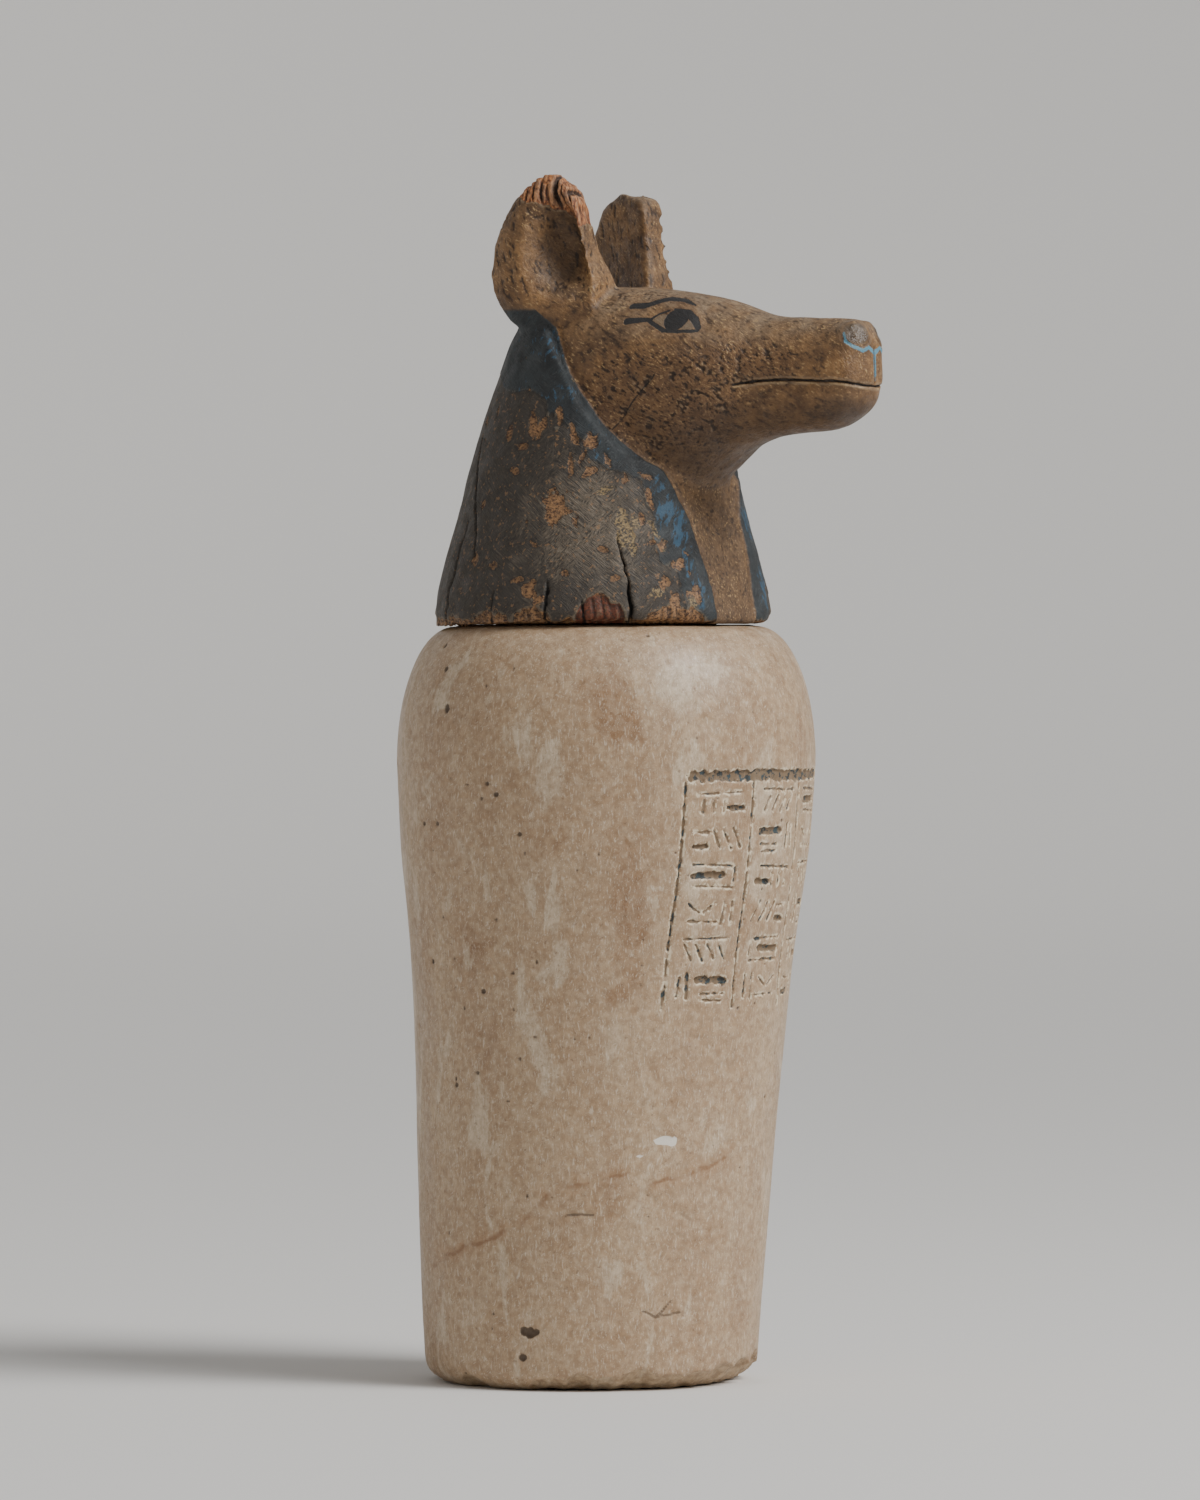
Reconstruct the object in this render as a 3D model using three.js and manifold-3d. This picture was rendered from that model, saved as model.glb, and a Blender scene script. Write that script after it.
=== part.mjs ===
// Canopic jar: a calcite jar, and the loose wooden lid that rests in its mouth, carved as a jackal's head.
// Millimetres, +Z up. The origin is the centre of the jar's underside, and the jackal looks along -Y.
// Shapes are worked out from three measures: side (+X), ahead (-Y, the way the muzzle points) and height.

import * as THREE from "three";
import { mergeVertices } from "three/addons/utils/BufferGeometryUtils.js";
import Module from "manifold-3d";

const wasm = await Module();
wasm.setup();
const degrees = THREE.MathUtils.degToRad;
const { lerp, smoothstep } = THREE.MathUtils;

// ---- Driving dimensions ----

const JAR_HEIGHT = 282;
const JAR_LEAN = 6.6; // how far the mouth stands ahead of the foot
const LEAN_HEIGHT = 240; // the jar's axis is upright again above this height
const FOOT_CORNER = 9; // rounding between the underside and the flank
const SHOULDER_HEIGHT = 232; // the widest level, where the shoulder starts to turn in
const RIM_RADIUS = 57; // outer edge of the flat rim
const MOUTH_RADIUS = 44;
const THROAT_DEPTH = 20; // straight wall of the mouth
const FLOOR_THICKNESS = 24;
const JAR_SEGMENTS = 44;

const PANEL_TOP = 229; // the inscribed panel on the front
const PANEL_BOTTOM = 142;
const PANEL_BAND = 5; // height of the sunk band along the panel's top
const PANEL_COLUMNS = 3;
const PANEL_ROWS = 6;
const COLUMN_ANGLE = degrees(23.6);
const COLUMN_LINE = 1.3;
const STROKE_WIDTH = 2.1;
const STROKE_DEPTH = 1.1;

const LID_AHEAD = 5; // the lid's axis stands this far ahead of the foot's centre
const LID_GAP = 0.3; // between the rim and the lid that rests on it
const LID_EDGE_DROOP = 3.3; // how far the worn back edge hangs below the rim
const SPIGOT_RADIUS = 41;
const SPIGOT_LENGTH = 14;
const WIG_THICKNESS = 2.4; // step from the wig down to the face and the throat
const MUZZLE_TIP = 120.5; // ahead of the lid's axis
const BEND_AHEAD = 78; // the head's sections fan out around this point, below the jaw
const BEND_HEIGHT = 44;
const EAR_TOP = 166.5; // the near ear's broken tip, above the rim
const FAR_EAR_TOP = 161.7;
const EAR_BREAK_START = 157; // the two ears differ above this height

// ---- Helpers ----

/** Smooth curve through rows of [position, value, ...]; returns the values at a position. */
function track(rows) {
  const positions = rows.map((row) => row[0]);
  const values = rows.flatMap((row) => row.slice(1));
  const curve = new THREE.CubicInterpolant(positions, values, rows[0].length - 1);
  return (position) => Array.from(curve.evaluate(position));
}

function solidOf(geometry) {
  geometry.deleteAttribute("normal");
  geometry.deleteAttribute("uv");
  const merged = mergeVertices(geometry, 1e-4);
  const vertProperties = new Float32Array(merged.attributes.position.array);
  const triVerts = new Uint32Array(merged.index.array);
  return new wasm.Manifold(new wasm.Mesh({ numProp: 3, vertProperties, triVerts }));
}

function geometryOf(solid) {
  const mesh = solid.getMesh();
  const geometry = new THREE.BufferGeometry();
  geometry.setAttribute("position", new THREE.BufferAttribute(mesh.vertProperties, 3));
  geometry.setIndex(new THREE.BufferAttribute(mesh.triVerts, 1));
  return geometry;
}

/** Closed skin through rings of equal length; a ring of one point closes an end. */
function loft(rings) {
  const positions = rings.flat().flatMap((point) => point.toArray());
  const count = Math.max(...rings.map((ring) => ring.length));
  const starts = rings.map((_, i) => rings.slice(0, i).reduce((sum, ring) => sum + ring.length, 0));
  const index = [];
  for (let i = 0; i + 1 < rings.length; i++) {
    const below = (k) => starts[i] + (rings[i].length > 1 ? k % count : 0);
    const above = (k) => starts[i + 1] + (rings[i + 1].length > 1 ? k % count : 0);
    for (let k = 0; k < count; k++) {
      if (rings[i].length > 1) index.push(below(k), below(k + 1), above(k));
      if (rings[i + 1].length > 1) index.push(below(k + 1), above(k + 1), above(k));
    }
  }
  const geometry = new THREE.BufferGeometry();
  geometry.setAttribute("position", new THREE.Float32BufferAttribute(positions, 3));
  geometry.setIndex(index);
  return geometry;
}

/** A point from its side, ahead and height. */
const place = (side, ahead, height) => new THREE.Vector3(side, -ahead, height);

// ---- Jar ----

const flankRadius = track([
  [FOOT_CORNER, 62.8],
  [67, 66.3],
  [123, 69.1],
  [161, 72.1],
  [198, 76.7],
  [SHOULDER_HEIGHT, 78.8],
]);
const bellyRadius = flankRadius(SHOULDER_HEIGHT)[0];
const jarLean = (height) => JAR_LEAN * smoothstep(height, 0, LEAN_HEIGHT);

/** Solid of revolution around the jar's leaning axis, from a profile of [radius, height]. */
function turned(profile) {
  const points = profile.map(([radius, height]) => new THREE.Vector2(radius, height));
  const geometry = new THREE.LatheGeometry(points, JAR_SEGMENTS).rotateX(Math.PI / 2);
  const position = geometry.attributes.position;
  for (let i = 0; i < position.count; i++) {
    position.setY(i, position.getY(i) - jarLean(position.getZ(i)));
  }
  return solidOf(geometry);
}

function jarProfile() {
  const profile = [[0, 0]];
  const footCentre = flankRadius(FOOT_CORNER)[0] - FOOT_CORNER;
  for (let angle = 0; angle < 90; angle += 22.5) {
    const turn = degrees(angle);
    profile.push([footCentre + FOOT_CORNER * Math.sin(turn), FOOT_CORNER * (1 - Math.cos(turn))]);
  }
  const flankSteps = 10;
  for (let i = 0; i <= flankSteps; i++) {
    const height = lerp(FOOT_CORNER, SHOULDER_HEIGHT, i / flankSteps);
    profile.push([flankRadius(height)[0], height]);
  }
  const shoulderSteps = 6;
  for (let i = 1; i <= shoulderSteps; i++) {
    const turn = degrees(90 * i / shoulderSteps);
    const radius = RIM_RADIUS + (bellyRadius - RIM_RADIUS) * Math.cos(turn);
    profile.push([radius, lerp(SHOULDER_HEIGHT, JAR_HEIGHT, Math.sin(turn))]);
  }
  const lip = 1.5;
  profile.push([MOUTH_RADIUS + lip, JAR_HEIGHT], [MOUTH_RADIUS, JAR_HEIGHT - lip]);
  const cavity = new THREE.SplineCurve([
    new THREE.Vector2(MOUTH_RADIUS, JAR_HEIGHT - THROAT_DEPTH),
    new THREE.Vector2(53, 249),
    new THREE.Vector2(58, 225),
    new THREE.Vector2(53, 130),
    new THREE.Vector2(48.5, 50),
    new THREE.Vector2(38, FLOOR_THICKNESS + 4),
    new THREE.Vector2(22, FLOOR_THICKNESS),
  ]);
  profile.push(...cavity.getPoints(7).map((point) => [point.x, point.y]));
  profile.push([0, FLOOR_THICKNESS]);
  return profile;
}

/** Thin skin that straddles the flank, as deep as the strokes are cut. */
function strokeSkin() {
  const proud = 4;
  const steps = 4;
  const inner = [];
  const outer = [];
  for (let i = 0; i <= steps; i++) {
    const height = lerp(PANEL_BOTTOM - 4, PANEL_TOP + 1, i / steps);
    const radius = flankRadius(height)[0];
    inner.push([radius - STROKE_DEPTH, height]);
    outer.unshift([radius + proud, height]);
  }
  return turned([...inner.reverse(), ...outer.reverse(), inner[0]]);
}

/** Bar that points at the jar's axis; angle is measured round the jar from the front. */
function radialBar(angle, height, width, tall, tilt = 0) {
  const reach = 40;
  const bar = new THREE.BoxGeometry(width, reach, tall).rotateY(tilt);
  return solidOf(bar.translate(0, -flankRadius(height)[0], height).rotateZ(angle));
}

/** Sunk band, column lines and rows of plain slanting strokes. */
function panelStrokes() {
  const halfPanel = PANEL_COLUMNS * COLUMN_ANGLE / 2;
  const reach = 110;
  const sector = new THREE.Shape().moveTo(0, 0);
  for (let i = 0; i <= 6; i++) {
    const angle = lerp(-halfPanel, halfPanel, i / 6);
    sector.lineTo(reach * Math.sin(angle), -reach * Math.cos(angle));
  }
  const band = new THREE.ExtrudeGeometry(sector, { depth: PANEL_BAND, bevelEnabled: false });
  const cuts = [solidOf(band.translate(0, 0, PANEL_TOP - PANEL_BAND))];
  const columnHeight = PANEL_TOP - PANEL_BAND - PANEL_BOTTOM;
  for (let line = 0; line <= PANEL_COLUMNS; line++) {
    const angle = line * COLUMN_ANGLE - halfPanel;
    cuts.push(radialBar(angle, PANEL_BOTTOM + columnHeight / 2, COLUMN_LINE, columnHeight + 1));
  }
  const rowHeight = columnHeight / PANEL_ROWS;
  for (let column = 0; column < PANEL_COLUMNS; column++) {
    for (let row = 0; row < PANEL_ROWS; row++) {
      const middle = (column + 0.5) * COLUMN_ANGLE - halfPanel;
      const height = PANEL_BOTTOM + (row + 0.5) * rowHeight;
      const count = 1 + (row + column) % 2;
      const lean = degrees(row % 2 ? 32 : -24);
      for (let stroke = 0; stroke < count; stroke++) {
        const offset = (stroke - (count - 1) / 2) * COLUMN_ANGLE * 0.4;
        const length = count === 1 ? 18 : 8.5;
        const tilt = count === 1 ? degrees(8) : lean + Math.PI / 2;
        cuts.push(radialBar(middle + offset, height, length, STROKE_WIDTH, tilt));
      }
    }
  }
  const centred = wasm.Manifold.union(cuts).translate([0, -jarLean(PANEL_TOP), 0]);
  return centred.intersect(strokeSkin());
}

/** Flakes knocked off the foot's edge: [angle from the front, half length, half height]. */
const FOOT_CHIPS = [
  [-66, 9, 5],
  [-50, 7, 6],
  [-37, 11, 7],
  [-20, 8, 5],
  [-4, 10, 7],
  [14, 7, 9],
];

function footChips() {
  const chips = FOOT_CHIPS.map(([angle, length, tall]) => {
    const scoop = new THREE.SphereGeometry(1, 9, 6).scale(length, 3.4, tall);
    const edge = flankRadius(FOOT_CORNER)[0] - 1;
    return solidOf(scoop.translate(0, -edge, 2.5).rotateZ(degrees(angle)));
  });
  return wasm.Manifold.union(chips);
}

function jarGeometry() {
  return geometryOf(turned(jarProfile()).subtract(panelStrokes()).subtract(footChips()));
}

// ---- Lid: head and neck ----

const wigRadius = track([
  [0, 63.5],
  [8, 62.7],
  [22.8, 59],
  [37.7, 54.8],
  [51, 51.5],
  [67.6, 47.2],
  [82.5, 42.4],
  [93.7, 38.3],
  [105, 33.4],
  [112, 28.5],
  [118, 20],
  [122, 8],
  [126, -8],
  [180, -80],
]);

/** The head along its length: ahead, top, bottom, half width, height of the widest line. */
const headLines = track([
  [-34, 106, 66, 6, 92],
  [-25, 115, 58, 24, 93],
  [-10, 122.5, 54, 33, 94],
  [5, 125.3, 52, 35, 95],
  [20, 125.3, 50, 35.2, 95],
  [36, 123.4, 50, 33.4, 94],
  [48, 121.4, 52, 31, 93],
  [56, 119.8, 58, 28.5, 92],
  [64, 117.4, 64, 25.3, 91],
  [70, 115.4, 66.2, 22.6, 90],
  [75, 114, 67.2, 20.7, 89.5],
  [82, 113.2, 68.4, 18.6, 89],
  [90, 112.9, 69.1, 16.9, 88.5],
  [97, 112.4, 69.5, 15.8, 88],
  [104.5, 112.2, 70.5, 14.9, 88],
  [110, 112, 72.8, 14, 88.5],
  [115, 110.4, 76.4, 11.8, 89.5],
  [118, 107, 80.5, 8.4, 91],
  [119.6, 103, 84.6, 5, 92],
  [MUZZLE_TIP, 97, 89, 1, 93],
]);

const SECTION_POWER = 2.25; // how square the head's sections are
const mouthLine = (ahead) => lerp(88.8, 86.4, smoothstep(ahead, 98, MUZZLE_TIP));
const MOUTH_BACK = 72;

/** Smooth union of two distances. */
function blend(a, b, reach) {
  const overlap = Math.max(reach - Math.abs(a - b), 0) / reach;
  return Math.min(a, b) - overlap * overlap * reach / 4;
}

/** Soft bump: 1 at its centre, fading to 0 over the three radii. */
function bump(side, ahead, height, centre, radii) {
  const across = (side - centre[0]) / radii[0];
  const along = (ahead - centre[1]) / radii[1];
  const up = (height - centre[2]) / radii[2];
  return Math.exp(-(across * across + along * along + up * up));
}

/** Carving on the face, in millimetres above the plain head. */
function relief(side, ahead, height) {
  const near = Math.abs(side);
  const brow = 1.3 * bump(near, ahead, height, [24, 50, 119], [9, 17, 3.6]);
  const socket = -1.6 * bump(near, ahead, height, [29, 51, 111.5], [9, 14, 5]);
  const cheek = 1.4 * bump(near, ahead, height, [28, 58, 100], [10, 18, 7]);
  const nostril = 1.9 * bump(near, ahead, height, [7, 116, 105.5], [5.5, 5.5, 5]);
  const parting = -1.3 * bump(near, ahead, height, [0, 120, 101], [1.6, 5, 12]);
  const open = smoothstep(ahead, MOUTH_BACK - 6, MOUTH_BACK + 6);
  const mouth = -1.5 * open * Math.max(0, 1 - Math.abs(height - mouthLine(ahead)) / 1.1);
  const lip = -0.7 * open * (1 - smoothstep(height, mouthLine(ahead) - 1, mouthLine(ahead)));
  return brow + socket + cheek + nostril + parting + mouth + lip;
}

function headField(side, ahead, height) {
  const [top, bottom, half, waist] = headLines(ahead);
  const rise = height > waist ? top - waist : waist - bottom;
  const across = (Math.abs(side) / half) ** SECTION_POWER;
  const up = (Math.abs(height - waist) / rise) ** SECTION_POWER;
  const behind = Math.max(0, headBack - ahead);
  return ((across + up) ** (1 / SECTION_POWER) - 1) * Math.min(half, rise) + behind;
}
const headBack = -34;

/** Distance to the carved head and neck; thickness adds the wig all over. */
function lidField(side, ahead, height, thickness) {
  const neck = Math.hypot(side, ahead) - wigRadius(height)[0] + WIG_THICKNESS;
  const throat = smoothstep(ahead, 26, 60) * (1 - smoothstep(height, 72, 92));
  const surface = blend(neck, headField(side, ahead, height), lerp(2, 6, throat));
  return surface - thickness - relief(side, ahead, height);
}

/** Walks out from a point inside the head until the surface is met. */
function castOut(start, direction, thickness) {
  const at = (reach) => start.clone().addScaledVector(direction, reach);
  const field = (reach) => {
    const { x, y, z } = at(reach);
    return lidField(x, -y, z, thickness);
  };
  let inside = 0;
  let outside = 1;
  while (field(outside) < 0) {
    inside = outside;
    outside += 1;
  }
  for (let i = 0; i < 18; i++) {
    const middle = (inside + outside) / 2;
    if (field(middle) < 0) inside = middle;
    else outside = middle;
  }
  return at(outside);
}

/** Angles of the rays in one section, closer together at the mouth line. */
function rayAngles() {
  const angles = [];
  for (let angle = 12; angle <= 168; angle += 8.667) angles.push(angle);
  return [...angles, 176, 180, 184, ...angles.map((angle) => angle + 180), 356, 360, 364];
}

/** One section of the head: centre, the way that counts as up in it, and its rays. */
function section(centre, up, thickness) {
  const across = new THREE.Vector3(1, 0, 0);
  return rayAngles().map((angle) => {
    const turn = degrees(angle);
    const direction = across.clone().multiplyScalar(Math.cos(turn)).addScaledVector(up, Math.sin(turn));
    return castOut(centre, direction, thickness);
  });
}

/** Droop of the lid's worn back edge at a point of it. */
function edgeDroop(point) {
  const wornTowards = degrees(-150);
  const angle = Math.atan2(point.x, -point.y);
  const facing = Math.cos(angle - wornTowards);
  return LID_EDGE_DROOP * smoothstep(facing, 0.1, 0.9);
}

/** Rings of the lid's foot: [height, inset from the wig's radius, share of the droop]. */
const FOOT_RINGS = [
  [0, 8, 0],
  [0, 2.8, 0.28],
  [1.3, 0.8, 1],
  [4.5, 0, 0.85],
  [12, 0, 0.2],
];

/** The throat stops just short of the wig's foot, so that only the wig meets the rim. */
const footLift = (thickness) => (thickness > 0 ? 0 : 0.4);

function footRings(thickness) {
  const up = new THREE.Vector3(0, 1, 0);
  return FOOT_RINGS.map(([footHeight, inset, share]) => {
    const height = footHeight + footLift(thickness);
    const ring = section(place(0, 0, height), up, thickness);
    return ring.map((point) => {
      const radius = Math.hypot(point.x, point.y);
      const drop = thickness > 0 ? edgeDroop(point) * share : 0;
      return new THREE.Vector3(point.x, point.y, 0).multiplyScalar(1 - inset / radius).setZ(height - drop);
    });
  });
}

/** Sections from the lid's foot up the neck, round the bend of the throat and out to the muzzle. */
function headSkin(thickness, bendEnd, tipEnd) {
  const rings = [[place(0, 0, footLift(thickness))], ...footRings(thickness)];
  for (const height of [20, 28, 36]) {
    rings.push(section(place(0, 0, height), new THREE.Vector3(0, 1, 0), thickness));
  }
  const spine = track([
    [0, BEND_AHEAD],
    [45, 66],
    [90, mouthLine(BEND_AHEAD) - BEND_HEIGHT],
  ]);
  for (let bend = 0; bend <= bendEnd; bend += 5) {
    const turn = degrees(bend);
    const up = place(0, -Math.cos(turn), Math.sin(turn));
    const centre = place(0, BEND_AHEAD, BEND_HEIGHT).addScaledVector(up, spine(bend)[0]);
    rings.push(section(centre, up, thickness));
  }
  if (tipEnd) {
    for (const ahead of [84, 90, 96, 102, 107, 111, 114, 116.2, 118, 119.2, 119.9, 120.3]) {
      rings.push(section(place(0, ahead, mouthLine(ahead)), new THREE.Vector3(0, 0, 1), thickness));
    }
    rings.push([place(0, MUZZLE_TIP, 93)]);
  } else {
    rings.push([rings.at(-1)[0].clone().setX(0)]);
  }
  return solidOf(loft(rings));
}

/** The wig's front edge seen from the side, from the lid's foot up and back over the crown. */
const WIG_EDGE = [
  [62, -20],
  [61.4, 0],
  [56, 24],
  [50.3, 42],
  [45.8, 52.6],
  [41, 58],
  [34.3, 62],
  [25, 71],
  [15, 82.5],
  [9.4, 92],
  [-3.9, 110],
  [-14, 124],
  [-22, 140],
];

/** Everything ahead of the wig's edge, right across the head. */
function faceOpening() {
  const outline = new THREE.Shape(WIG_EDGE.map(([ahead, height]) => new THREE.Vector2(ahead, height)));
  outline.lineTo(200, 140).lineTo(200, -20);
  const across = 160;
  const prism = new THREE.ExtrudeGeometry(outline, { depth: across, bevelEnabled: false });
  prism.rotateX(Math.PI / 2).rotateZ(-Math.PI / 2);
  return solidOf(prism.translate(across / 2, 0, 0));
}

// ---- Lid: ears ----

/** The ear's sections: height, inner corner, front face, outer corner, lip (side, ahead), */
/** back edge (side, ahead), depth of the hollow. */
const earLines = track([
  [106, 14, 12, 27, 30, -6, 28, -14, 0],
  [112, 12, 14.5, 28.5, 35, -7.5, 33.5, -20, 0],
  [118, 10.5, 15, 29, 37.2, -9.5, 34.5, -24, 0.5],
  [124, 10.2, 14.6, 28.8, 38, -11, 34.8, -26.8, 3],
  [130, 12, 13, 28.6, 38, -12, 34.8, -27.6, 6],
  [136, 14.6, 10.8, 28.6, 37.6, -12.5, 34.4, -27.2, 7.4],
  [142, 16.3, 9.4, 29.2, 37, -12.5, 33.6, -26.2, 7.6],
  [148, 17, 8.2, 30, 36.2, -12, 33, -24, 6.6],
  [153, 17.6, 7.2, 30.6, 35.2, -11, 32.4, -21.6, 4.4],
  [157, 18, 6.2, 31, 34.2, -10, 31.8, -19.2, 1.4],
  [160, 19, 5, 31, 33.2, -9, 31.2, -16.4, 0],
  [163.5, 21, 1.6, 29.5, 31.4, -8, 29.2, -12.8, 0],
  [EAR_TOP, 23.4, -1.8, 27.5, 28.6, -6.2, 27.4, -8.6, 0],
]);

function earSection(height, mirror, lift) {
  const [inner, front, outer, lipSide, lipAhead, backSide, backAhead, hollow] = earLines(height);
  const chord = (share) => [lerp(outer, lipSide, share), lerp(front, lipAhead, share)];
  const sunk = (share, depth) => [chord(share)[0] - hollow * depth, chord(share)[1]];
  const medial = (share) => [lerp(backSide - 5, inner, share), lerp(backAhead + 3, front - 1.6, share)];
  const outline = [
    [inner + 1.4, front],
    [(inner + outer) / 2, front + 0.4],
    [outer, front],
    sunk(0.1, 0.72),
    sunk(0.28, 1),
    sunk(0.5, 0.92),
    sunk(0.7, 0.6),
    sunk(0.87, 0.2),
    [lipSide, lipAhead],
    [lerp(lipSide, backSide, 0.35) + 0.6, lerp(lipAhead, backAhead, 0.5)],
    [backSide, backAhead + 1.2],
    [backSide - 1.4, backAhead],
    medial(0),
    medial(0.33),
    medial(0.66),
    medial(1),
  ];
  return outline.map(([side, ahead]) => place(side * mirror, ahead, lift(height)));
}

function ear(mirror, top) {
  const lift = (height) => {
    const above = Math.max(0, height - EAR_BREAK_START);
    return Math.min(height, EAR_BREAK_START) + above * (top - EAR_BREAK_START) / (EAR_TOP - EAR_BREAK_START);
  };
  const heights = [106, 112, 118, 122, 126, 130, 135, 140, 145, 150, 154, 157, 160, 162.5, 165, EAR_TOP];
  const rings = heights.map((height) => earSection(height, mirror, lift));
  const closed = [[centreOf(rings[0])], ...rings, [centreOf(rings.at(-1))]];
  if (mirror < 0) closed.forEach((ring) => ring.reverse());
  return solidOf(loft(closed));
}

function centreOf(ring) {
  const sum = ring.reduce((total, point) => total.add(point), new THREE.Vector3());
  return sum.divideScalar(ring.length);
}

/** The nick in the top of the ear on the +X side. */
function earNick() {
  const nick = new THREE.CylinderGeometry(3.2, 3.2, 60, 10).rotateZ(degrees(-56));
  return solidOf(nick.translate(27, 3.4, FAR_EAR_TOP + 1.2));
}

// ---- Lid: assembly ----

function lidGeometry() {
  const face = headSkin(0, 90, true);
  const wig = headSkin(WIG_THICKNESS, 60, false).subtract(faceOpening());
  const ears = ear(1, FAR_EAR_TOP).subtract(earNick()).add(ear(-1, EAR_TOP));
  const spigot = new THREE.CylinderGeometry(SPIGOT_RADIUS, SPIGOT_RADIUS - 2, SPIGOT_LENGTH + 4, 40);
  spigot.rotateX(Math.PI / 2).translate(0, LID_AHEAD - JAR_LEAN, 2 - SPIGOT_LENGTH / 2);
  return geometryOf(face.add(wig).add(ears).add(solidOf(spigot)));
}

// ---- Materials and scene graph ----

const calcite = new THREE.MeshStandardMaterial({ color: 0xcbb699, roughness: 0.5, metalness: 0 });
const paintedWood = new THREE.MeshStandardMaterial({ color: 0x75654f, roughness: 0.75, metalness: 0 });

const jar = new THREE.Mesh(jarGeometry(), calcite);
jar.name = "jar";

const lid = new THREE.Mesh(lidGeometry(), paintedWood);
lid.name = "lid";
lid.position.set(0, -LID_AHEAD, JAR_HEIGHT + LID_GAP);

const canopicJar = new THREE.Group();
canopicJar.add(jar, lid);
canopicJar.updateMatrixWorld(true);

export default canopicJar;
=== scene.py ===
import math

import bpy
import numpy as np
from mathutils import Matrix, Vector


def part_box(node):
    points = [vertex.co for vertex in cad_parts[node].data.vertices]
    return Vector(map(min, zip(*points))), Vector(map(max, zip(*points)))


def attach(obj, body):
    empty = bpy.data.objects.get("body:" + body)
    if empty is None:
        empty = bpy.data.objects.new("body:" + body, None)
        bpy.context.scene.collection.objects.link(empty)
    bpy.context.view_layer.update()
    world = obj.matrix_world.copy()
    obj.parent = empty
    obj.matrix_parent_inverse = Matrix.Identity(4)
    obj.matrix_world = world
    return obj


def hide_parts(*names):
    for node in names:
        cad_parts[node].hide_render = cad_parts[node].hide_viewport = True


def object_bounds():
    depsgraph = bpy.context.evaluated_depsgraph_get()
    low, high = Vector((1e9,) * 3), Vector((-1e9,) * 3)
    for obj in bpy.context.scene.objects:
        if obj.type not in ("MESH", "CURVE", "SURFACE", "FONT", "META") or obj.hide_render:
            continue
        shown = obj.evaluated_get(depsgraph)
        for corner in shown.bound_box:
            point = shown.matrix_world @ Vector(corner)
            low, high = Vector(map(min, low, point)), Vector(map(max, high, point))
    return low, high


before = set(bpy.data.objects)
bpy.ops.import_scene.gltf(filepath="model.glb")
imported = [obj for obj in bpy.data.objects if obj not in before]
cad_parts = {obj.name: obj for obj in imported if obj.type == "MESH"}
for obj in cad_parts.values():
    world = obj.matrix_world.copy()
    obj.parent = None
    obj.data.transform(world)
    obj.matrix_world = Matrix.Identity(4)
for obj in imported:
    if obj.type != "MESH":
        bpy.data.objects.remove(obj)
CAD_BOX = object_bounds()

bl_info = {
    "name": "Canopic jar",
    "version": (1, 0, 0),
    "blender": (4, 5, 0),
    "location": "3D View > Sidebar > Canopic jar",
    "description": "Dresses the calcite jar and its jackal-head lid, and lights them",
    "category": "Object",
}

MM = 0.001
JAR_LOW, JAR_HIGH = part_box("jar")
LID_LOW, LID_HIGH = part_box("lid")
RIM = JAR_HIGH.z / MM  # height of the jar's flat rim
BELLY = JAR_HIGH.x / MM  # largest radius of the jar
LID_AHEAD = 5.0  # the lid's axis stands this far ahead of the foot's centre
LID_GAP = 0.3
JAR_LEAN = 6.6  # the mouth stands this far ahead of the foot
LEAN_HEIGHT = 240.0


# ---- Numbers on arrays of points; lengths in millimetres ----

def smooth(value, low, high):
    """0 below low, 1 above high, and a smooth step between."""
    share = np.clip((value - low) / (high - low), 0.0, 1.0)
    return share * share * (3.0 - 2.0 * share)


LATTICE = 64  # cells along each side of the block of random numbers, which repeats
RANDOM = np.random.RandomState(7).uniform(-1, 1, LATTICE**3).astype(np.float32)


def hashed(x, y, z, seed):
    """A random number from 0 to 1 for each whole-number cell."""
    step = seed * 7919
    index = ((x + step) % LATTICE * LATTICE + (y + step // 3) % LATTICE) * LATTICE + (z + step // 7) % LATTICE
    return RANDOM[index] * 0.5 + 0.5


def noise(points, size, seed):
    """Smooth noise from -1 to 1, with lumps of the given size; size may differ along each axis."""
    scaled = (points / np.asarray(size, float) + seed * np.array([17.3, 31.7, 5.9])).astype(np.float32)
    cell = np.floor(scaled)
    x, y, z = (scaled - cell).T
    x, y, z = (part * part * (3 - 2 * part) for part in (x, y, z))
    cell = cell.astype(np.int32)
    low = cell % LATTICE
    high = (cell + 1) % LATTICE
    rows = [low[:, 0] * LATTICE * LATTICE, high[:, 0] * LATTICE * LATTICE]
    columns = [low[:, 1] * LATTICE, high[:, 1] * LATTICE]
    planes = []
    for plane in (low[:, 2], high[:, 2]):
        sides = []
        for column in columns:
            start = RANDOM.take(rows[0] + column + plane)
            sides.append(start + (RANDOM.take(rows[1] + column + plane) - start) * x)
        planes.append(sides[0] + (sides[1] - sides[0]) * y)
    return (planes[0] + (planes[1] - planes[0]) * z).astype(float)


def rough_noise(points, size, seed, layers=3):
    """Noise with finer layers added at half the size and half the height."""
    size = np.asarray(size, float)
    total = sum(noise(points, size / 2 ** k, seed + k) / 2 ** k for k in range(layers))
    return total / (2.0 - 0.5 ** (layers - 1))


def segment_distance(u, v, start, end):
    """Distance in a plane from each point (u, v) to the segment from start to end."""
    du, dv = end[0] - start[0], end[1] - start[1]
    share = np.clip(((u - start[0]) * du + (v - start[1]) * dv) / (du * du + dv * dv + 1e-9), 0, 1)
    return np.hypot(u - start[0] - share * du, v - start[1] - share * dv), share


def line_distance(u, v, points, half_widths):
    """Distance to a painted or cut line: negative inside, with a half width at each point."""
    nearest = np.full(len(u), 1e3)
    for k in range(len(points) - 1):
        away, share = segment_distance(u, v, points[k], points[k + 1])
        width = half_widths[k] + (half_widths[k + 1] - half_widths[k]) * share
        nearest = np.minimum(nearest, away - width)
    return nearest


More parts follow.
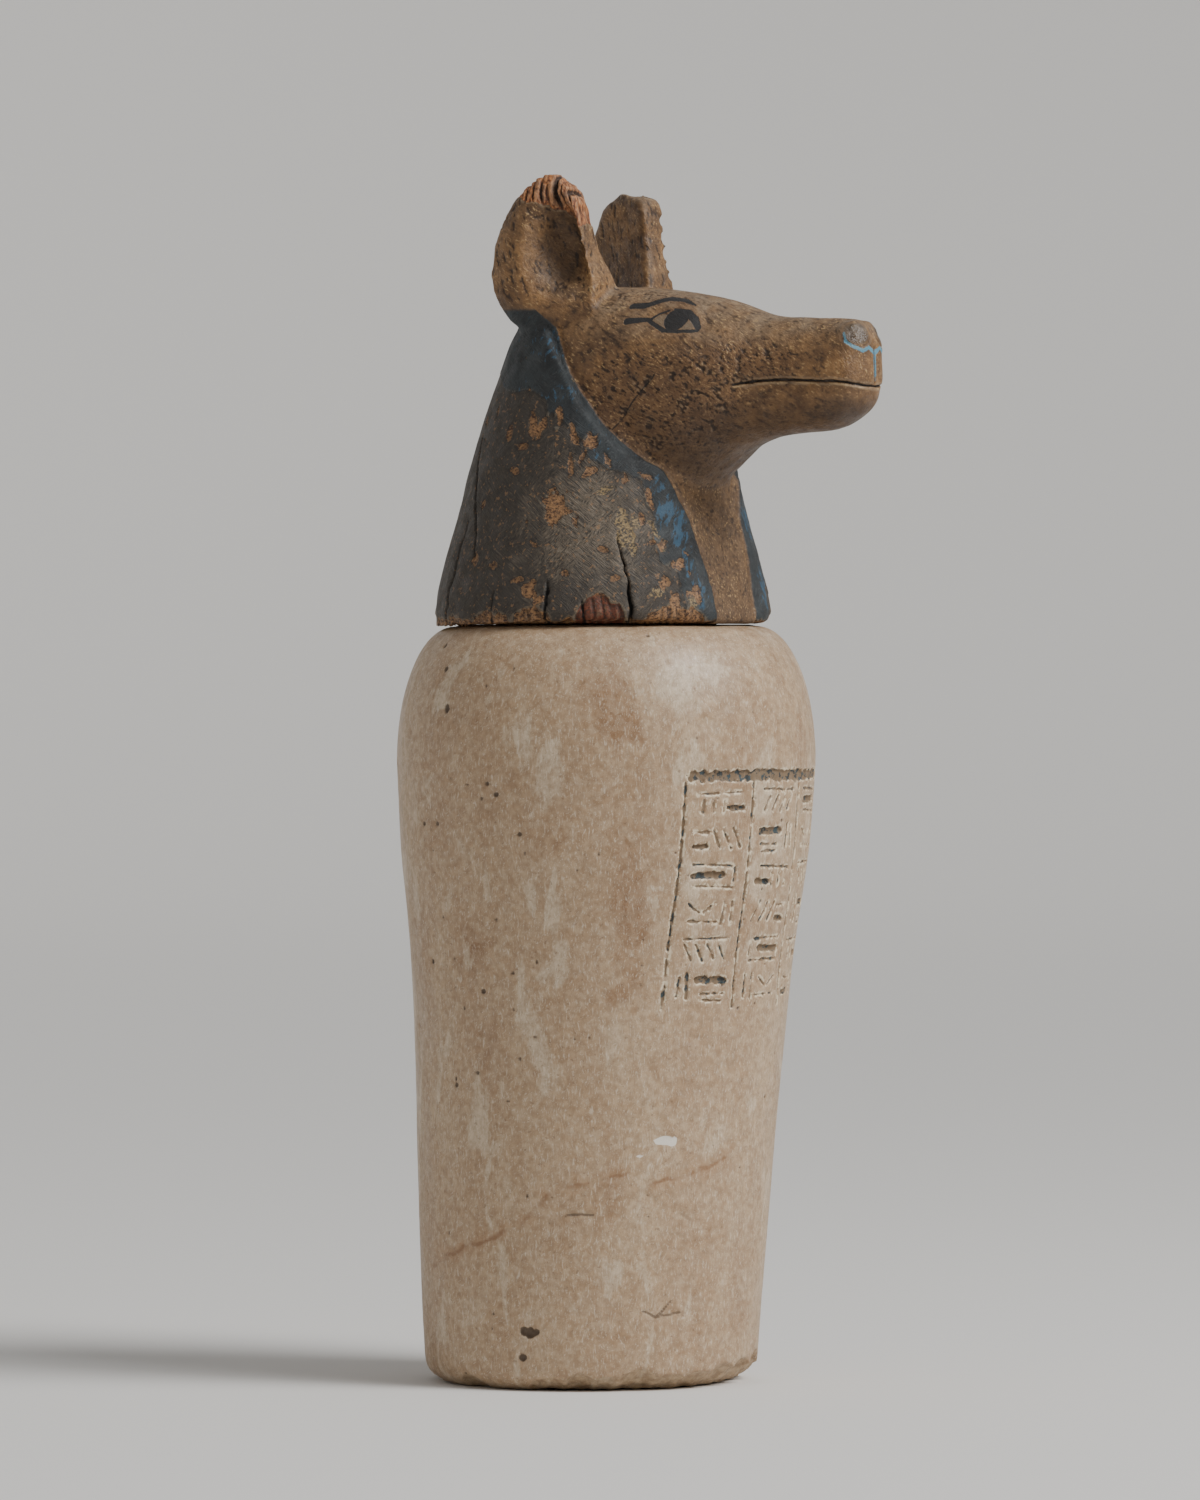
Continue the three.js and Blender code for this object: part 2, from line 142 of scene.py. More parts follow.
def curve_through(rows, at):
    """Smooth curve through rows of (position, value), with the slope taken from the neighbours."""
    xs = np.array([row[0] for row in rows], float)
    ys = np.array([row[1] for row in rows], float)
    slopes = np.gradient(ys, xs)
    at = np.clip(at, xs[0], xs[-1])
    i = np.clip(np.searchsorted(xs, at) - 1, 0, len(xs) - 2)
    span = xs[i + 1] - xs[i]
    t = (at - xs[i]) / span
    return ((2 * t**3 - 3 * t**2 + 1) * ys[i] + (t**3 - 2 * t**2 + t) * span * slopes[i]
            + (3 * t**2 - 2 * t**3) * ys[i + 1] + (t**3 - t**2) * span * slopes[i + 1])


# ---- Meshes ----

def only(obj):
    """Makes obj the one selected and active object."""
    bpy.ops.object.select_all(action="DESELECT")
    obj.select_set(True)
    bpy.context.view_layer.objects.active = obj


def points_of(obj):
    """The mesh's points in millimetres."""
    flat = np.empty(len(obj.data.vertices) * 3)
    obj.data.vertices.foreach_get("co", flat)
    return flat.reshape(-1, 3) / MM


def normals_of(obj):
    flat = np.empty(len(obj.data.vertices) * 3, np.float32)
    obj.data.vertex_normals.foreach_get("vector", flat)
    return flat.reshape(-1, 3).astype(float)


def move_points(obj, points):
    obj.data.vertices.foreach_set("co", (points * MM).ravel())
    obj.data.update()


def store(obj, name, values):
    """Keeps one number per point on the mesh, for the materials."""
    layer = obj.data.attributes.get(name) or obj.data.attributes.new(name, "FLOAT", "POINT")
    layer.data.foreach_set("value", np.asarray(values, np.float32))


def edges_of(obj):
    flat = np.empty(len(obj.data.edges) * 2, np.int32)
    obj.data.edges.foreach_get("vertices", flat)
    return flat.reshape(-1, 2)


def relax(points, edges, rounds, strength):
    """Smooths points towards their neighbours and back again, so that the form doesn't shrink."""
    count = np.bincount(edges.ravel(), minlength=len(points)).astype(float)
    for step in range(rounds):
        sums = np.empty_like(points)
        for axis in range(3):
            one = np.bincount(edges[:, 0], points[edges[:, 1], axis], len(points))
            two = np.bincount(edges[:, 1], points[edges[:, 0], axis], len(points))
            sums[:, axis] = one + two
        pull = 0.55 if step % 2 == 0 else -0.57
        move = sums / count[:, None] - points
        points = points + move * (pull * strength)[:, None]
    return points


def apply_modifier(obj, kind, **values):
    only(obj)
    modifier = obj.modifiers.new(kind.lower(), kind)
    for key, value in values.items():
        setattr(modifier, key, value)
    bpy.ops.object.modifier_apply(modifier=modifier.name)


def thin_out(obj, most):
    """Drops triangles where the surface is plain, until the mesh has at most this many."""
    faces = sum(len(face.vertices) - 2 for face in obj.data.polygons)
    if faces > most:
        apply_modifier(obj, "DECIMATE", ratio=most / faces, use_collapse_triangulate=True)


def finish_piece(obj, nodes, material):
    obj.data.materials.clear()
    obj.data.materials.append(material)
    obj.data.shade_smooth()
    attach(obj, "root")
    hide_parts(*nodes)


# ---- Calcite jar ----

FLANK = [(9, 62.8), (67, 66.3), (123, 69.1), (161, 72.1), (198, 76.7), (232, BELLY)]  # height, radius
FOOT_CORNER = 9.0
SHOULDER = 232.0
RIM_RADIUS = 57.0
MOUTH_RADIUS = 44.0
THROAT_DEPTH = 20.0
FLOOR_THICKNESS = 24.0
CAVITY = [
    (MOUTH_RADIUS, RIM - THROAT_DEPTH), (53, 249), (58, 225), (53, 130), (48.5, 50), (38, 28),
    (22, FLOOR_THICKNESS),
]

MARK_RADIUS = 70  # flank radius at which the marks' degrees become millimetres
PIT_SPACING = 8.5  # one small pit at most in each square of this size

PANEL_TOP = 229.0
PANEL_BAND = 5.0
PANEL_BOTTOM = 142.0
PANEL_COLUMNS = 3
PANEL_ROWS = 6
COLUMN_ANGLE = 23.6  # degrees
HALF_PANEL = PANEL_COLUMNS * COLUMN_ANGLE / 2
PANEL_RADIUS = 74
# Rows of plain strokes, from the row's middle: across, up, half length, turn in degrees, half width
STROKE_ROWS = [
    [(-1, 3, 9.5, 2, 0.45), (-8, -1.6, 2.2, 86, 0.45), (-3.6, -1.8, 2.2, 92, 0.45), (1, -1.6, 2, 86, 0.45),
     (6.4, -2.4, 3.6, 0, 1.1)],
    [(-8, 0.4, 4, 62, 0.5), (-3.4, 0, 4, 60, 0.5), (1.4, 0.2, 3.8, 63, 0.5), (8, 2.4, 3.2, 4, 0.45),
     (8, -2.8, 2.6, -4, 1.0)],
    [(-1.5, 4, 8.6, -2, 0.45), (-3, 0.2, 6, 2, 1.3), (-0.5, -4, 8.8, -2, 0.45), (8.6, 0.4, 2.4, 88, 0.45)],
    [(-9.6, 0, 4, 88, 0.45), (-5.6, 0, 4.2, 92, 0.45), (3, -3.2, 6, 2, 0.45), (1, 1.8, 2.6, -34, 0.45),
     (7.4, 1.8, 2.8, 34, 0.45)],
    [(0, 4.2, 10, 1, 0.45), (-7.4, -0.6, 3.4, -58, 0.5), (-2.6, -0.8, 3.4, -60, 0.5),
     (2.4, -0.6, 3.2, -58, 0.5), (7.6, -1, 3, -60, 0.5)],
    [(-4, 2.6, 6, 2, 1.4), (6.4, 0.6, 4.4, 86, 0.7), (9.8, 0.4, 3.4, 92, 0.45), (-5, -2.4, 5, 0, 0.45),
     (-4.6, -4.8, 4.4, 2, 0.45)],
]

# Flakes off the foot's edge: degrees from the front, half length, half height, depth
FOOT_CHIPS = [
    (-70, 9, 4, 2.2), (-60, 6, 6, 4), (-50, 8, 4.5, 3), (-39, 9, 7, 4.5), (-27, 8, 5, 3.5), (-15, 9, 5.5, 4),
    (-3, 9, 8, 4.5), (9, 9, 9, 5), (23, 10, 11, 5), (36, 8, 7, 3), (75, 8, 5, 3), (118, 6, 4, 2.5),
    (142, 10, 7, 4), (-148, 8, 5, 3.5), (-104, 6, 4, 2.5),
]

# Pits: degrees from the front, height, radius, depth
PITS = [
    (-110.8, 265.7, 1.5, 0.9), (-106, 251, 1.9, 1.3), (-90.2, 223.6, 1.1, 0.8), (-87.5, 219.6, 1.3, 0.9),
    (-80.3, 205.1, 1.3, 0.9), (-116.6, 208.4, 1.2, 0.8), (-109.9, 208.6, 1.1, 0.7), (-117.4, 157.4, 1.3, 0.9),
    (-88.8, 173.7, 0.9, 0.7), (-83.5, 154, 1.0, 0.7), (-75.8, 158.2, 0.9, 0.7), (-94, 147.1, 1.3, 1.0),
    (-117.6, 274.5, 1.2, 0.9), (-106.5, 114.6, 1.1, 0.9), (-106.3, 112.4, 1.2, 1.0), (-102, 140.6, 1.1, 0.8),
    (-81.2, 122.8, 1.1, 0.8), (-96.7, 117.2, 1.2, 0.8), (-79.2, 22.2, 1.9, 1.8), (-77, 21.6, 2.4, 2.2),
    (-74.8, 22, 1.7, 1.6), (-79.8, 12.7, 1.7, 1.3), (40, 190, 1.4, 1.0), (68, 120, 1.6, 1.1),
    (95, 236, 1.5, 1.0), (128, 84, 1.7, 1.2), (150, 205, 1.4, 0.9), (176, 40, 2.0, 1.5),
    (-160, 150, 1.5, 1.0), (-140, 230, 1.3, 0.9),
]
# Flakes: degrees from the front, height, half width, half height, turn, depth
FLAKES = [
    (-32.6, 251.9, 3.4, 1.6, 25, 0.35), (-28.5, 243.8, 6.2, 4.0, 35, 0.4), (-22, 250.5, 4.2, 2.2, 20, 0.3),
    (-25.2, 129.6, 3.2, 1.8, -20, 0.4), (-26.4, 98.4, 2.6, 1.6, 30, 0.4), (-38.1, 69.6, 3.0, 2.2, 20, 0.4),
    (-26.7, 62.6, 4.6, 3.2, -15, 0.5), (-28.9, 55.8, 4.2, 2.4, 10, 0.5), (-33.8, 92.7, 4.6, 1.9, 8, 0.35),
    (-42.1, 87, 1.4, 0.9, 0, 0.3), (-14, 118, 5.0, 3.0, 15, 0.35), (-8, 90, 3.5, 2.0, -30, 0.35),
    (22, 160, 5.0, 3.5, 10, 0.4), (60, 60, 6.0, 4.0, -20, 0.5), (110, 180, 5.0, 3.0, 30, 0.4),
    (165, 110, 6.5, 4.0, 0, 0.45), (-150, 70, 5.0, 3.4, 15, 0.45),
]
VEIN = [
    (-122, 45), (-102, 53), (-82, 60), (-74, 69), (-68, 74.5), (-53.5, 78), (-45, 80), (-39, 77), (-25, 80),
    (-8, 86),
]
HAIRLINES = [
    [(-65.3, 64.6), (-60, 66.2), (-56.1, 65.7)],
    [(-39, 29.5), (-34.4, 28), (-25.3, 29)],
    [(-34.4, 28), (-28.8, 33.2)],
    [(96, 210), (101, 188), (99, 170), (104, 150)],
]
# Tints: degrees from the front, height, half width in degrees, half height, amount
BROWN = [
    (-56, 249, 11, 17, 0.9), (-50, 190, 8, 60, 0.75), (-56, 90, 9, 60, 0.6), (-30, 128, 14, 30, 0.45),
    (-98, 250, 8, 24, 0.4), (-20, 60, 12, 40, 0.4), (5, 250, 12, 20, 0.35), (60, 210, 14, 50, 0.6),
    (130, 120, 18, 70, 0.6), (-170, 240, 20, 30, 0.6),
]
PALE = [
    (-81, 238, 7, 14, 0.9), (-73, 185, 8, 16, 0.8), (-71, 126, 9, 16, 0.7), (-95, 96, 8, 22, 0.6),
    (-30, 262, 20, 12, 0.8), (-104, 262, 12, 12, 0.6), (-8, 180, 12, 40, 0.4), (-20, 30, 20, 20, 0.45),
    (40, 100, 16, 30, 0.6), (100, 60, 20, 20, 0.6), (160, 180, 16, 40, 0.6), (-140, 140, 14, 40, 0.6),
]


def jar_radius(height):
    return curve_through(FLANK, height)


def jar_profile():
    """Half section of the jar from the middle of its underside, over the rim, to the middle of its floor."""
    foot_centre = float(jar_radius(FOOT_CORNER)) - FOOT_CORNER
    profile = [(r, 0.0) for r in np.linspace(2, foot_centre, 4)[:-1]]
    profile += [(foot_centre + FOOT_CORNER * math.sin(a), FOOT_CORNER * (1 - math.cos(a)))
                for a in np.linspace(0, math.pi / 2, 5)[:-1]]
    profile += [(float(jar_radius(z)), z) for z in np.linspace(FOOT_CORNER, SHOULDER, 36)[:-1]]
    profile += [(RIM_RADIUS + (BELLY - RIM_RADIUS) * math.cos(a), SHOULDER + (RIM - SHOULDER) * math.sin(a))
                for a in np.linspace(0, math.pi / 2, 9)]
    lip = 1.5
    profile += [(51, RIM), (MOUTH_RADIUS + lip, RIM), (MOUTH_RADIUS, RIM - lip), (MOUTH_RADIUS, RIM - 8)]
    steps = np.linspace(0, len(CAVITY) - 1, 9)
    across = curve_through([(k, point[0]) for k, point in enumerate(CAVITY)], steps)
    up = curve_through([(k, point[1]) for k, point in enumerate(CAVITY)], steps)
    profile += list(zip(across, up)) + [(2, FLOOR_THICKNESS)]
    return [(float(r), float(z)) for r, z in profile]


def spin_profile(name, profile, steps):
    """Draws the half section point by point and spins it round the upright axis."""
    bpy.ops.object.select_all(action="DESELECT")
    bpy.ops.mesh.primitive_plane_add(size=MM)
    obj = bpy.context.active_object
    obj.name = name
    obj.data.name = name
    bpy.ops.object.mode_set(mode="EDIT")
    bpy.ops.mesh.select_all(action="SELECT")
    bpy.ops.mesh.merge(type="CENTER")
    bpy.ops.transform.translate(value=(profile[0][0] * MM, 0, profile[0][1] * MM))
    for (r, z), (next_r, next_z) in zip(profile, profile[1:]):
        move = ((next_r - r) * MM, 0, (next_z - z) * MM)
        bpy.ops.mesh.extrude_region_move(TRANSFORM_OT_translate={"value": move})
    bpy.ops.mesh.select_all(action="SELECT")
    bpy.ops.mesh.spin(steps=steps, angle=math.tau, axis=(0, 0, 1), center=(0, 0, 0))
    bpy.ops.mesh.select_all(action="SELECT")
    bpy.ops.mesh.remove_doubles(threshold=MM * 0.02)
    bpy.ops.mesh.select_all(action="DESELECT")
    bpy.ops.mesh.select_non_manifold()
    bpy.ops.mesh.edge_face_add()
    bpy.ops.object.mode_set(mode="OBJECT")
    apply_modifier(obj, "SUBSURF", levels=3, render_levels=3)
    return obj


def spread(azimuth, height, radius, centre, half_width, half_height, turn=0.0):
    """How far each point lies from a mark on the flank: 0 at its centre, 1 at its edge."""
    across = np.radians((azimuth - centre[0] + 180) % 360 - 180) * radius
    up = height - centre[1]
    c, s = math.cos(math.radians(turn)), math.sin(math.radians(turn))
    return np.hypot((across * c + up * s) / half_width, (up * c - across * s) / half_height)


def refine_panel(obj):
    """Splits the faces of the inscribed panel in four, for its fine cuts."""
    mesh = obj.data
    centres = np.empty(len(mesh.polygons) * 3)
    mesh.polygons.foreach_get("center", centres)
    centres = centres.reshape(-1, 3) / MM
    azimuth = np.degrees(np.arctan2(centres[:, 0], -centres[:, 1]))
    chosen = (np.abs(azimuth) < HALF_PANEL + 1.5) & (centres[:, 2] > PANEL_BOTTOM
                                                     - 3) & (centres[:, 2] < PANEL_TOP + 2)
    chosen &= np.hypot(centres[:, 0], centres[:, 1]) > 65
    only(obj)
    bpy.ops.object.mode_set(mode="EDIT")
    bpy.ops.mesh.select_all(action="DESELECT")
    bpy.ops.mesh.select_mode(type="FACE")
    bpy.ops.object.mode_set(mode="OBJECT")
    mesh.polygons.foreach_set("select", chosen)
    bpy.ops.object.mode_set(mode="EDIT")
    bpy.ops.mesh.subdivide(number_cuts=1)
    bpy.ops.mesh.select_mode(type="VERT")
    bpy.ops.object.mode_set(mode="OBJECT")


def panel_strokes():
    """Plain strokes of the inscribed panel: degrees, height, half length, turn and half width of each."""
    row_height = (PANEL_TOP - PANEL_BAND - PANEL_BOTTOM) / PANEL_ROWS
    degree = math.radians(1) * PANEL_RADIUS  # length of one degree on the flank
    strokes = []
    for column in range(PANEL_COLUMNS):
        middle = (column + 0.5) * COLUMN_ANGLE - HALF_PANEL
        for row in range(PANEL_ROWS):
            height = PANEL_TOP - PANEL_BAND - (row + 0.5) * row_height
            side = -1 if (row + column) % 2 else 1
            for across, up, half, turn, wide in STROKE_ROWS[(row + 4 * column) % len(STROKE_ROWS)]:
                strokes.append((middle + side * across / degree, height + up, half, side * turn, wide))
    return strokes


def carve_panel(azimuth, height, radius, surface):
    """Depth of the inscribed panel's cuts, and how near each point is to the edge of one."""
    inside = (np.abs(azimuth) < HALF_PANEL + 4) & (height > PANEL_BOTTOM - 4) & (height < PANEL_TOP + 5)
    where = np.flatnonzero(inside & (surface > 0.5))
    u = np.radians(azimuth[where]) * radius[where]
    v = height[where]
    flat = np.stack([u, v, np.zeros(len(u))], axis=1)
    ragged = 0.32 * noise(flat, 1.7, 61) + 0.25 * noise(flat, 0.8, 62)
    dotted = 0.35 * noise(flat, 2.0, 63)
    degree = math.radians(1) * radius[where].mean()
    nearest = np.full(len(u), 9.0)
    depth = np.zeros(len(u))

    def cut(away, deep, soft=0.4):
        nonlocal nearest, depth
        nearest = np.minimum(nearest, away)
        depth = np.maximum(depth, deep * (1 - smooth(away, -soft, soft * 0.6)))

    for degrees, up, half, turn, wide in panel_strokes():
        du, dv = half * math.cos(math.radians(turn)), half * math.sin(math.radians(turn))
        start = (degrees * degree - du, up - dv)
        end = (degrees * degree + du, up + dv)
        away, _ = segment_distance(u, v, start, end)
        cut(away - wide + ragged + dotted, 1.2 if wide > 0.8 else 0.7)
    for line in range(PANEL_COLUMNS + 1):
        at = (line * COLUMN_ANGLE - HALF_PANEL) * degree
        away, _ = segment_distance(u, v, (at, PANEL_BOTTOM - 0.5), (at - 0.6, PANEL_TOP - PANEL_BAND))
        cut(away - 0.5 + ragged * 0.8 + dotted, 0.9)
    top, bottom = PANEL_TOP + 0.6 * noise(flat, (6, 30, 9), 64), PANEL_TOP - PANEL_BAND
    band = np.maximum(np.maximum(v - top, bottom - v), np.abs(u) - HALF_PANEL * degree)
    cut(band + ragged * 2.4 + 0.5, 1.1, 0.7)
    full_depth = np.zeros(len(azimuth))
    full_near = np.full(len(azimuth), 9.0)
    full_depth[where] = depth
    full_near[where] = nearest
    return full_depth, full_near


def chip_foot(azimuth, height, radius):
    """How far the flakes knocked off the foot's edge cut in, at each point."""
    cut = np.zeros(len(azimuth))
    for centre, length, tall, deep in FOOT_CHIPS:
        turn = np.radians(azimuth - centre)
        along = radius * np.sin(turn) / length
        up = (height - 1.0) / tall
        room = np.where(np.cos(turn) > 0, 1 - along**2 - up**2, 0)
        cut = np.maximum(cut, deep * np.sqrt(np.maximum(room, 0)))
    return cut


def shape_jar(obj):
    """Leans the turned jar, and works the stone: wear, pits, flakes, cracks, the panel and the chipped foot."""
    points = points_of(obj)
    normals = normals_of(obj)
    azimuth = np.degrees(np.arctan2(points[:, 0], -points[:, 1]))
    height = points[:, 2]
    radius = np.hypot(points[:, 0], points[:, 1])
    outer = smooth(radius - jar_radius(np.clip(height, FOOT_CORNER, SHOULDER)), -26, -22)
    outer = np.where(normals[:, 2] < -0.97, 0, outer) * np.where(radius < MOUTH_RADIUS + 1.2, 0, 1)
    swell = 0.3 * noise(points, 60, 11) + 0.16 * noise(points, 22, 12) + 0.07 * rough_noise(points, 7, 13)
    grain = 0.035 * noise(points, 2.4, 14) + 0.02 * noise(points, 1.3, 15)
    rise = (swell - 0.42) * outer + grain
    hollow = np.zeros(len(points))
    for centre, up, size, deep in PITS:
        away = spread(azimuth, height, radius, (centre, up), size, size) + 0.22 * noise(points, 1.5, 21)
        hollow = np.maximum(hollow, deep * 0.8 * (1 - smooth(away, 0.45, 1.05)))
    cell = np.stack([np.radians(azimuth) * 72 / PIT_SPACING, height / PIT_SPACING], axis=1)
    base = np.floor(cell).astype(np.int64)
    picks = [hashed(base[:, 0], base[:, 1], np.full(len(points), k), 22) for k in range(4)]
    off_u = cell[:, 0] - base[:, 0] - 0.25 - 0.5 * picks[0]
    off_v = cell[:, 1] - base[:, 1] - 0.25 - 0.5 * picks[1]
    away = np.hypot(off_u, off_v) * PIT_SPACING
    size = 0.35 + 0.6 * picks[2] ** 3
    hollow = np.maximum(hollow,
                        np.where(picks[3] < 0.55, 0.6 * size * (1 - smooth(away / size, 0.4, 1.1)), 0))
    scar = np.zeros(len(points))
    for centre, up, wide, tall, turn, deep in FLAKES:
        reach = spread(azimuth, height, radius, (centre, up), wide, tall, turn) + 0.25 * noise(points, 2.5,
                                                                                               23)
        slope = 0.55 + 0.45 * np.clip((height - up) / tall, -1, 1)
        scar = np.maximum(scar, deep * slope * (1 - smooth(reach, 0.82, 1.0)))
    line_u = np.radians(azimuth) * MARK_RADIUS
    ragged = 0.8 * noise(points, 6, 24) + 0.4 * noise(points, 2.5, 25)
    crack = np.full(len(points), 9.0)
    for line in HAIRLINES:
        path = [(math.radians(a) * MARK_RADIUS, z) for a, z in line]
        crack = np.minimum(crack, line_distance(line_u, height + ragged, path, [0.25] * len(path)))
    vein_path = [(math.radians(a) * MARK_RADIUS, z) for a, z in VEIN]
    vein = line_distance(line_u, height + ragged * 1.6, vein_path, [0.3] * len(vein_path))
    cuts, near_cut = carve_panel(azimuth, height, radius, outer)
    chips = chip_foot(azimuth, height, radius) * smooth(radius, 40, 50)
    chipped = smooth(chips, 0.0, 0.6)
    rise -= (hollow + scar + 0.3 * (1 - smooth(crack, -0.2, 0.45)) + 0.15
             * (1 - smooth(vein, -0.3, 0.6))) * outer
    rise -= cuts + 0.12 * (1 - smooth(near_cut, 0.0, 1.2)) * (cuts < 0.1) * outer
    rise += chipped * (0.35 * noise(points, 3.2, 31) + 0.2 * noise(points, 1.5, 32) - 0.3)
    moved = points + normals * rise[:, None]
    around = np.stack([points[:, 0] / np.maximum(radius, 1), points[:, 1] / np.maximum(radius, 1)], axis=1)
    moved[:, :2] -= around * chips[:, None]
    moved[:, 2] = np.clip(moved[:, 2], 0, RIM)
    moved[:, 1] -= JAR_LEAN * smooth(height, 0, LEAN_HEIGHT)
    move_points(obj, moved)
    tint = np.zeros(len(points))
    for marks, sign in ((BROWN, 1), (PALE, -1)):
        for centre, up, wide, tall, amount in marks:
            reach = spread(azimuth, height, radius, (centre, up), math.radians(wide) * MARK_RADIUS, tall)
            reach += 0.35 * noise(points, 9, 41) + 0.2 * noise(points, 4, 42)
            tint += sign * amount * (1 - smooth(reach, 0.35, 1.15))
    white = np.full(len(points), 9.0)
    for centre, up, wide, tall in ((-33.8, 92.7, 4.3, 1.7), (-31.5, 91.6, 1.6, 1.5), (-42.1, 87, 1.2, 0.6)):
        reach = spread(azimuth, height, radius, (centre, up), wide, tall, 6) + 0.3 * noise(points, 1.8, 43)
        white = np.minimum(white, (reach - 1) * tall)
    store(obj, "tint", tint * outer)
    store(obj, "hollow", np.clip(hollow * 1.1 + cuts * 0.3, 0, 1))
    store(obj, "fresh", np.clip(chipped + scar, 0, 1))
    store(obj, "vein", np.clip(vein, -2, 8))
    store(obj, "crack", np.clip(crack, -2, 8))
    store(obj, "white_chip", np.clip(white, -2, 8))
    store(obj, "cut", np.clip(cuts, 0, 1.2))
    store(obj, "near_cut", np.clip(near_cut, -2, 9))


# ---- Jackal-head lid ----

WIG_THICKNESS = 1.2
# The wig's front edge over the cheek, seen from the side: ahead, height
WIG_EDGE = [
    (62, -20), (61.4, 0), (56, 24), (51.6, 38), (47.4, 49), (43, 56), (40, 58), (32, 65), (25.4, 72),
    (17.5, 82), (13.4, 87), (9.5, 93), (5, 103), (0.7, 110), (-3, 113), (-14, 124), (-22, 140),
]
# Half width of the bare throat between the lappets: height, half width
THROAT = [(0, 14.5), (13, 15.6), (25, 17.2), (38, 18.3), (49, 21.5), (56, 25)]
FAR_LAPPET_IN = 3.5  # the far lappet comes this much nearer the middle, low down
# height, width of whole paint
WHOLE_BAND = [(0, 3.2), (38, 3.0), (48, 5.0), (57, 8.5), (80, 9.0), (90, 13), (100, 30)]
MOUTH = [(71, 87.6), (82, 88.9), (105, 88.7), (115.6, 87.9), (121, 86.4)]  # ahead, height
NOSE_PAD = (7.6, 117.4, 106.3)  # side, ahead, height
NOSE_PAD_RADIUS = 5.2
# Splits in the wig: points of (degrees from the front, height), half widths, depth
SPLITS = [
    ([(-130, 70), (-128, 64), (-123, 52), (-119, 44), (-114, 33), (-111, 24)],
     [0.1, 0.3, 0.55, 0.35, 0.25, 0.1], 1.6),
    ([(-122, 38), (-124, 26), (-123, 17), (-125, 13), (-124, 7), (-125, -1)], [0.1, 0.2, 0.35, 0.3, 0.4, 0.4],
     1.6),
    ([(-51, 35), (-50.5, 30), (-48, 20), (-47, 15), (-47.5, 11), (-46.5, 7), (-46.5, -1)],
     [-0.3, 0.0, 0.12, 0.05, 0.3, 0.45, 0.5], 2.6),
    ([(-75.5, 15), (-75.5, 12), (-76, -1)], [0.1, 0.3, 0.4], 1.6),
    ([(-63, 8), (-62.5, -1)], [0.15, 0.3], 1.2),
    ([(-97, 12), (-98, -1)], [0.1, 0.25], 1.0),
    ([(64, 40), (66, 22), (63, 10), (64, -1)], [0.1, 0.4, 0.5, 0.6], 2.0),
    ([(112, 30), (110, 12), (111, -1)], [0.1, 0.3, 0.4], 1.4),
    ([(164, 74), (168, 50), (165, 30), (167, -1)], [0.1, 0.4, 0.5, 0.4], 1.8),
    ([(-158, 22), (-156, -1)], [0.1, 0.3], 1.2),
]
CHEEK_CRACKS = [((37.7, 84.6), (26.9, 71.4)), ((45, 92), (38, 85))]  # ahead, height
# Marks on the wig: degrees from the front, height, half width, half height, turn
FLECKS = [
    (-75, 44, 4.6, 6.6, -8), (-91, 73, 1.6, 4.6, 12), (-86, 72, 1.5, 3.2, -15), (-95, 65, 2.4, 1.4, 0),
    (-77, 76, 1.0, 3.6, 14), (-69, 69, 1.1, 4.4, 18), (-61, 67, 2.6, 2.4, 0), (-70, 59, 0.9, 3.8, 8),
    (-62, 55, 3.2, 1.3, 32), (-65, 61, 1.0, 2.4, -20), (-54, 60, 1.0, 2.6, 22), (-97, 56, 2.6, 1.1, -24),
    (-38, 54, 2.8, 1.6, -20), (-37, 46, 1.1, 3.6, 14), (-41, 39, 1.0, 2.4, 10), (-100, 21, 2.4, 1.2, 10),
    (-110, 24, 1.6, 2.0, 0), (-82, 12, 3.4, 3.0, -25), (-79, 8, 2.6, 1.8, 20), (-87, 16, 2.2, 1.0, 15),
    (-70, 18, 1.4, 1.2, 0), (-34, 15, 3.4, 2.6, 30), (-31, 8, 2.6, 3.0, 0), (-22, 10, 1.8, 3.6, 15),
    (-27, 22, 1.2, 2.6, -30), (-104, 70, 1.2, 2.8, 0), (-112, 44, 1.0, 2.2, 0), (-52, 16, 2.0, 1.2, 10),
    (-56, 27, 2.2, 0.9, -20), (38, 50, 2.4, 3.4, 10), (52, 30, 3.6, 2.4, -20), (75, 60, 3.0, 5.0, 15),
    (88, 34, 5.0, 3.4, 0), (110, 62, 2.4, 4.0, -15), (132, 26, 4.0, 2.6, 20), (150, 58, 2.6, 4.4, 0),
    (178, 36, 4.4, 3.0, 10), (-164, 66, 2.4, 3.6, -10), (-142, 30, 3.6, 2.4, 25),
]
OCHRE_PATCHES = [
    (-47, 32, 3.8, 3.0, 20), (-43, 36, 2.6, 2.0, -30), (-49, 38, 2.0, 3.0, 0), (-45, 27, 1.6, 2.6, 0),
    (-36, 34, 1.2, 3.4, 20), (-33, 28, 1.4, 3.0, -20), (-24, 8, 2.6, 3.0, 0), (-37, 11, 3.0, 1.6, 25),
    (-55, 49, 2.4, 1.0, 20), (-72, 90, 1.6, 1.2, 0), (60, 44, 3.0, 4.0, 0), (100, 20, 4.0, 2.4, 0),
    (160, 50, 3.0, 4.6, 0),
]
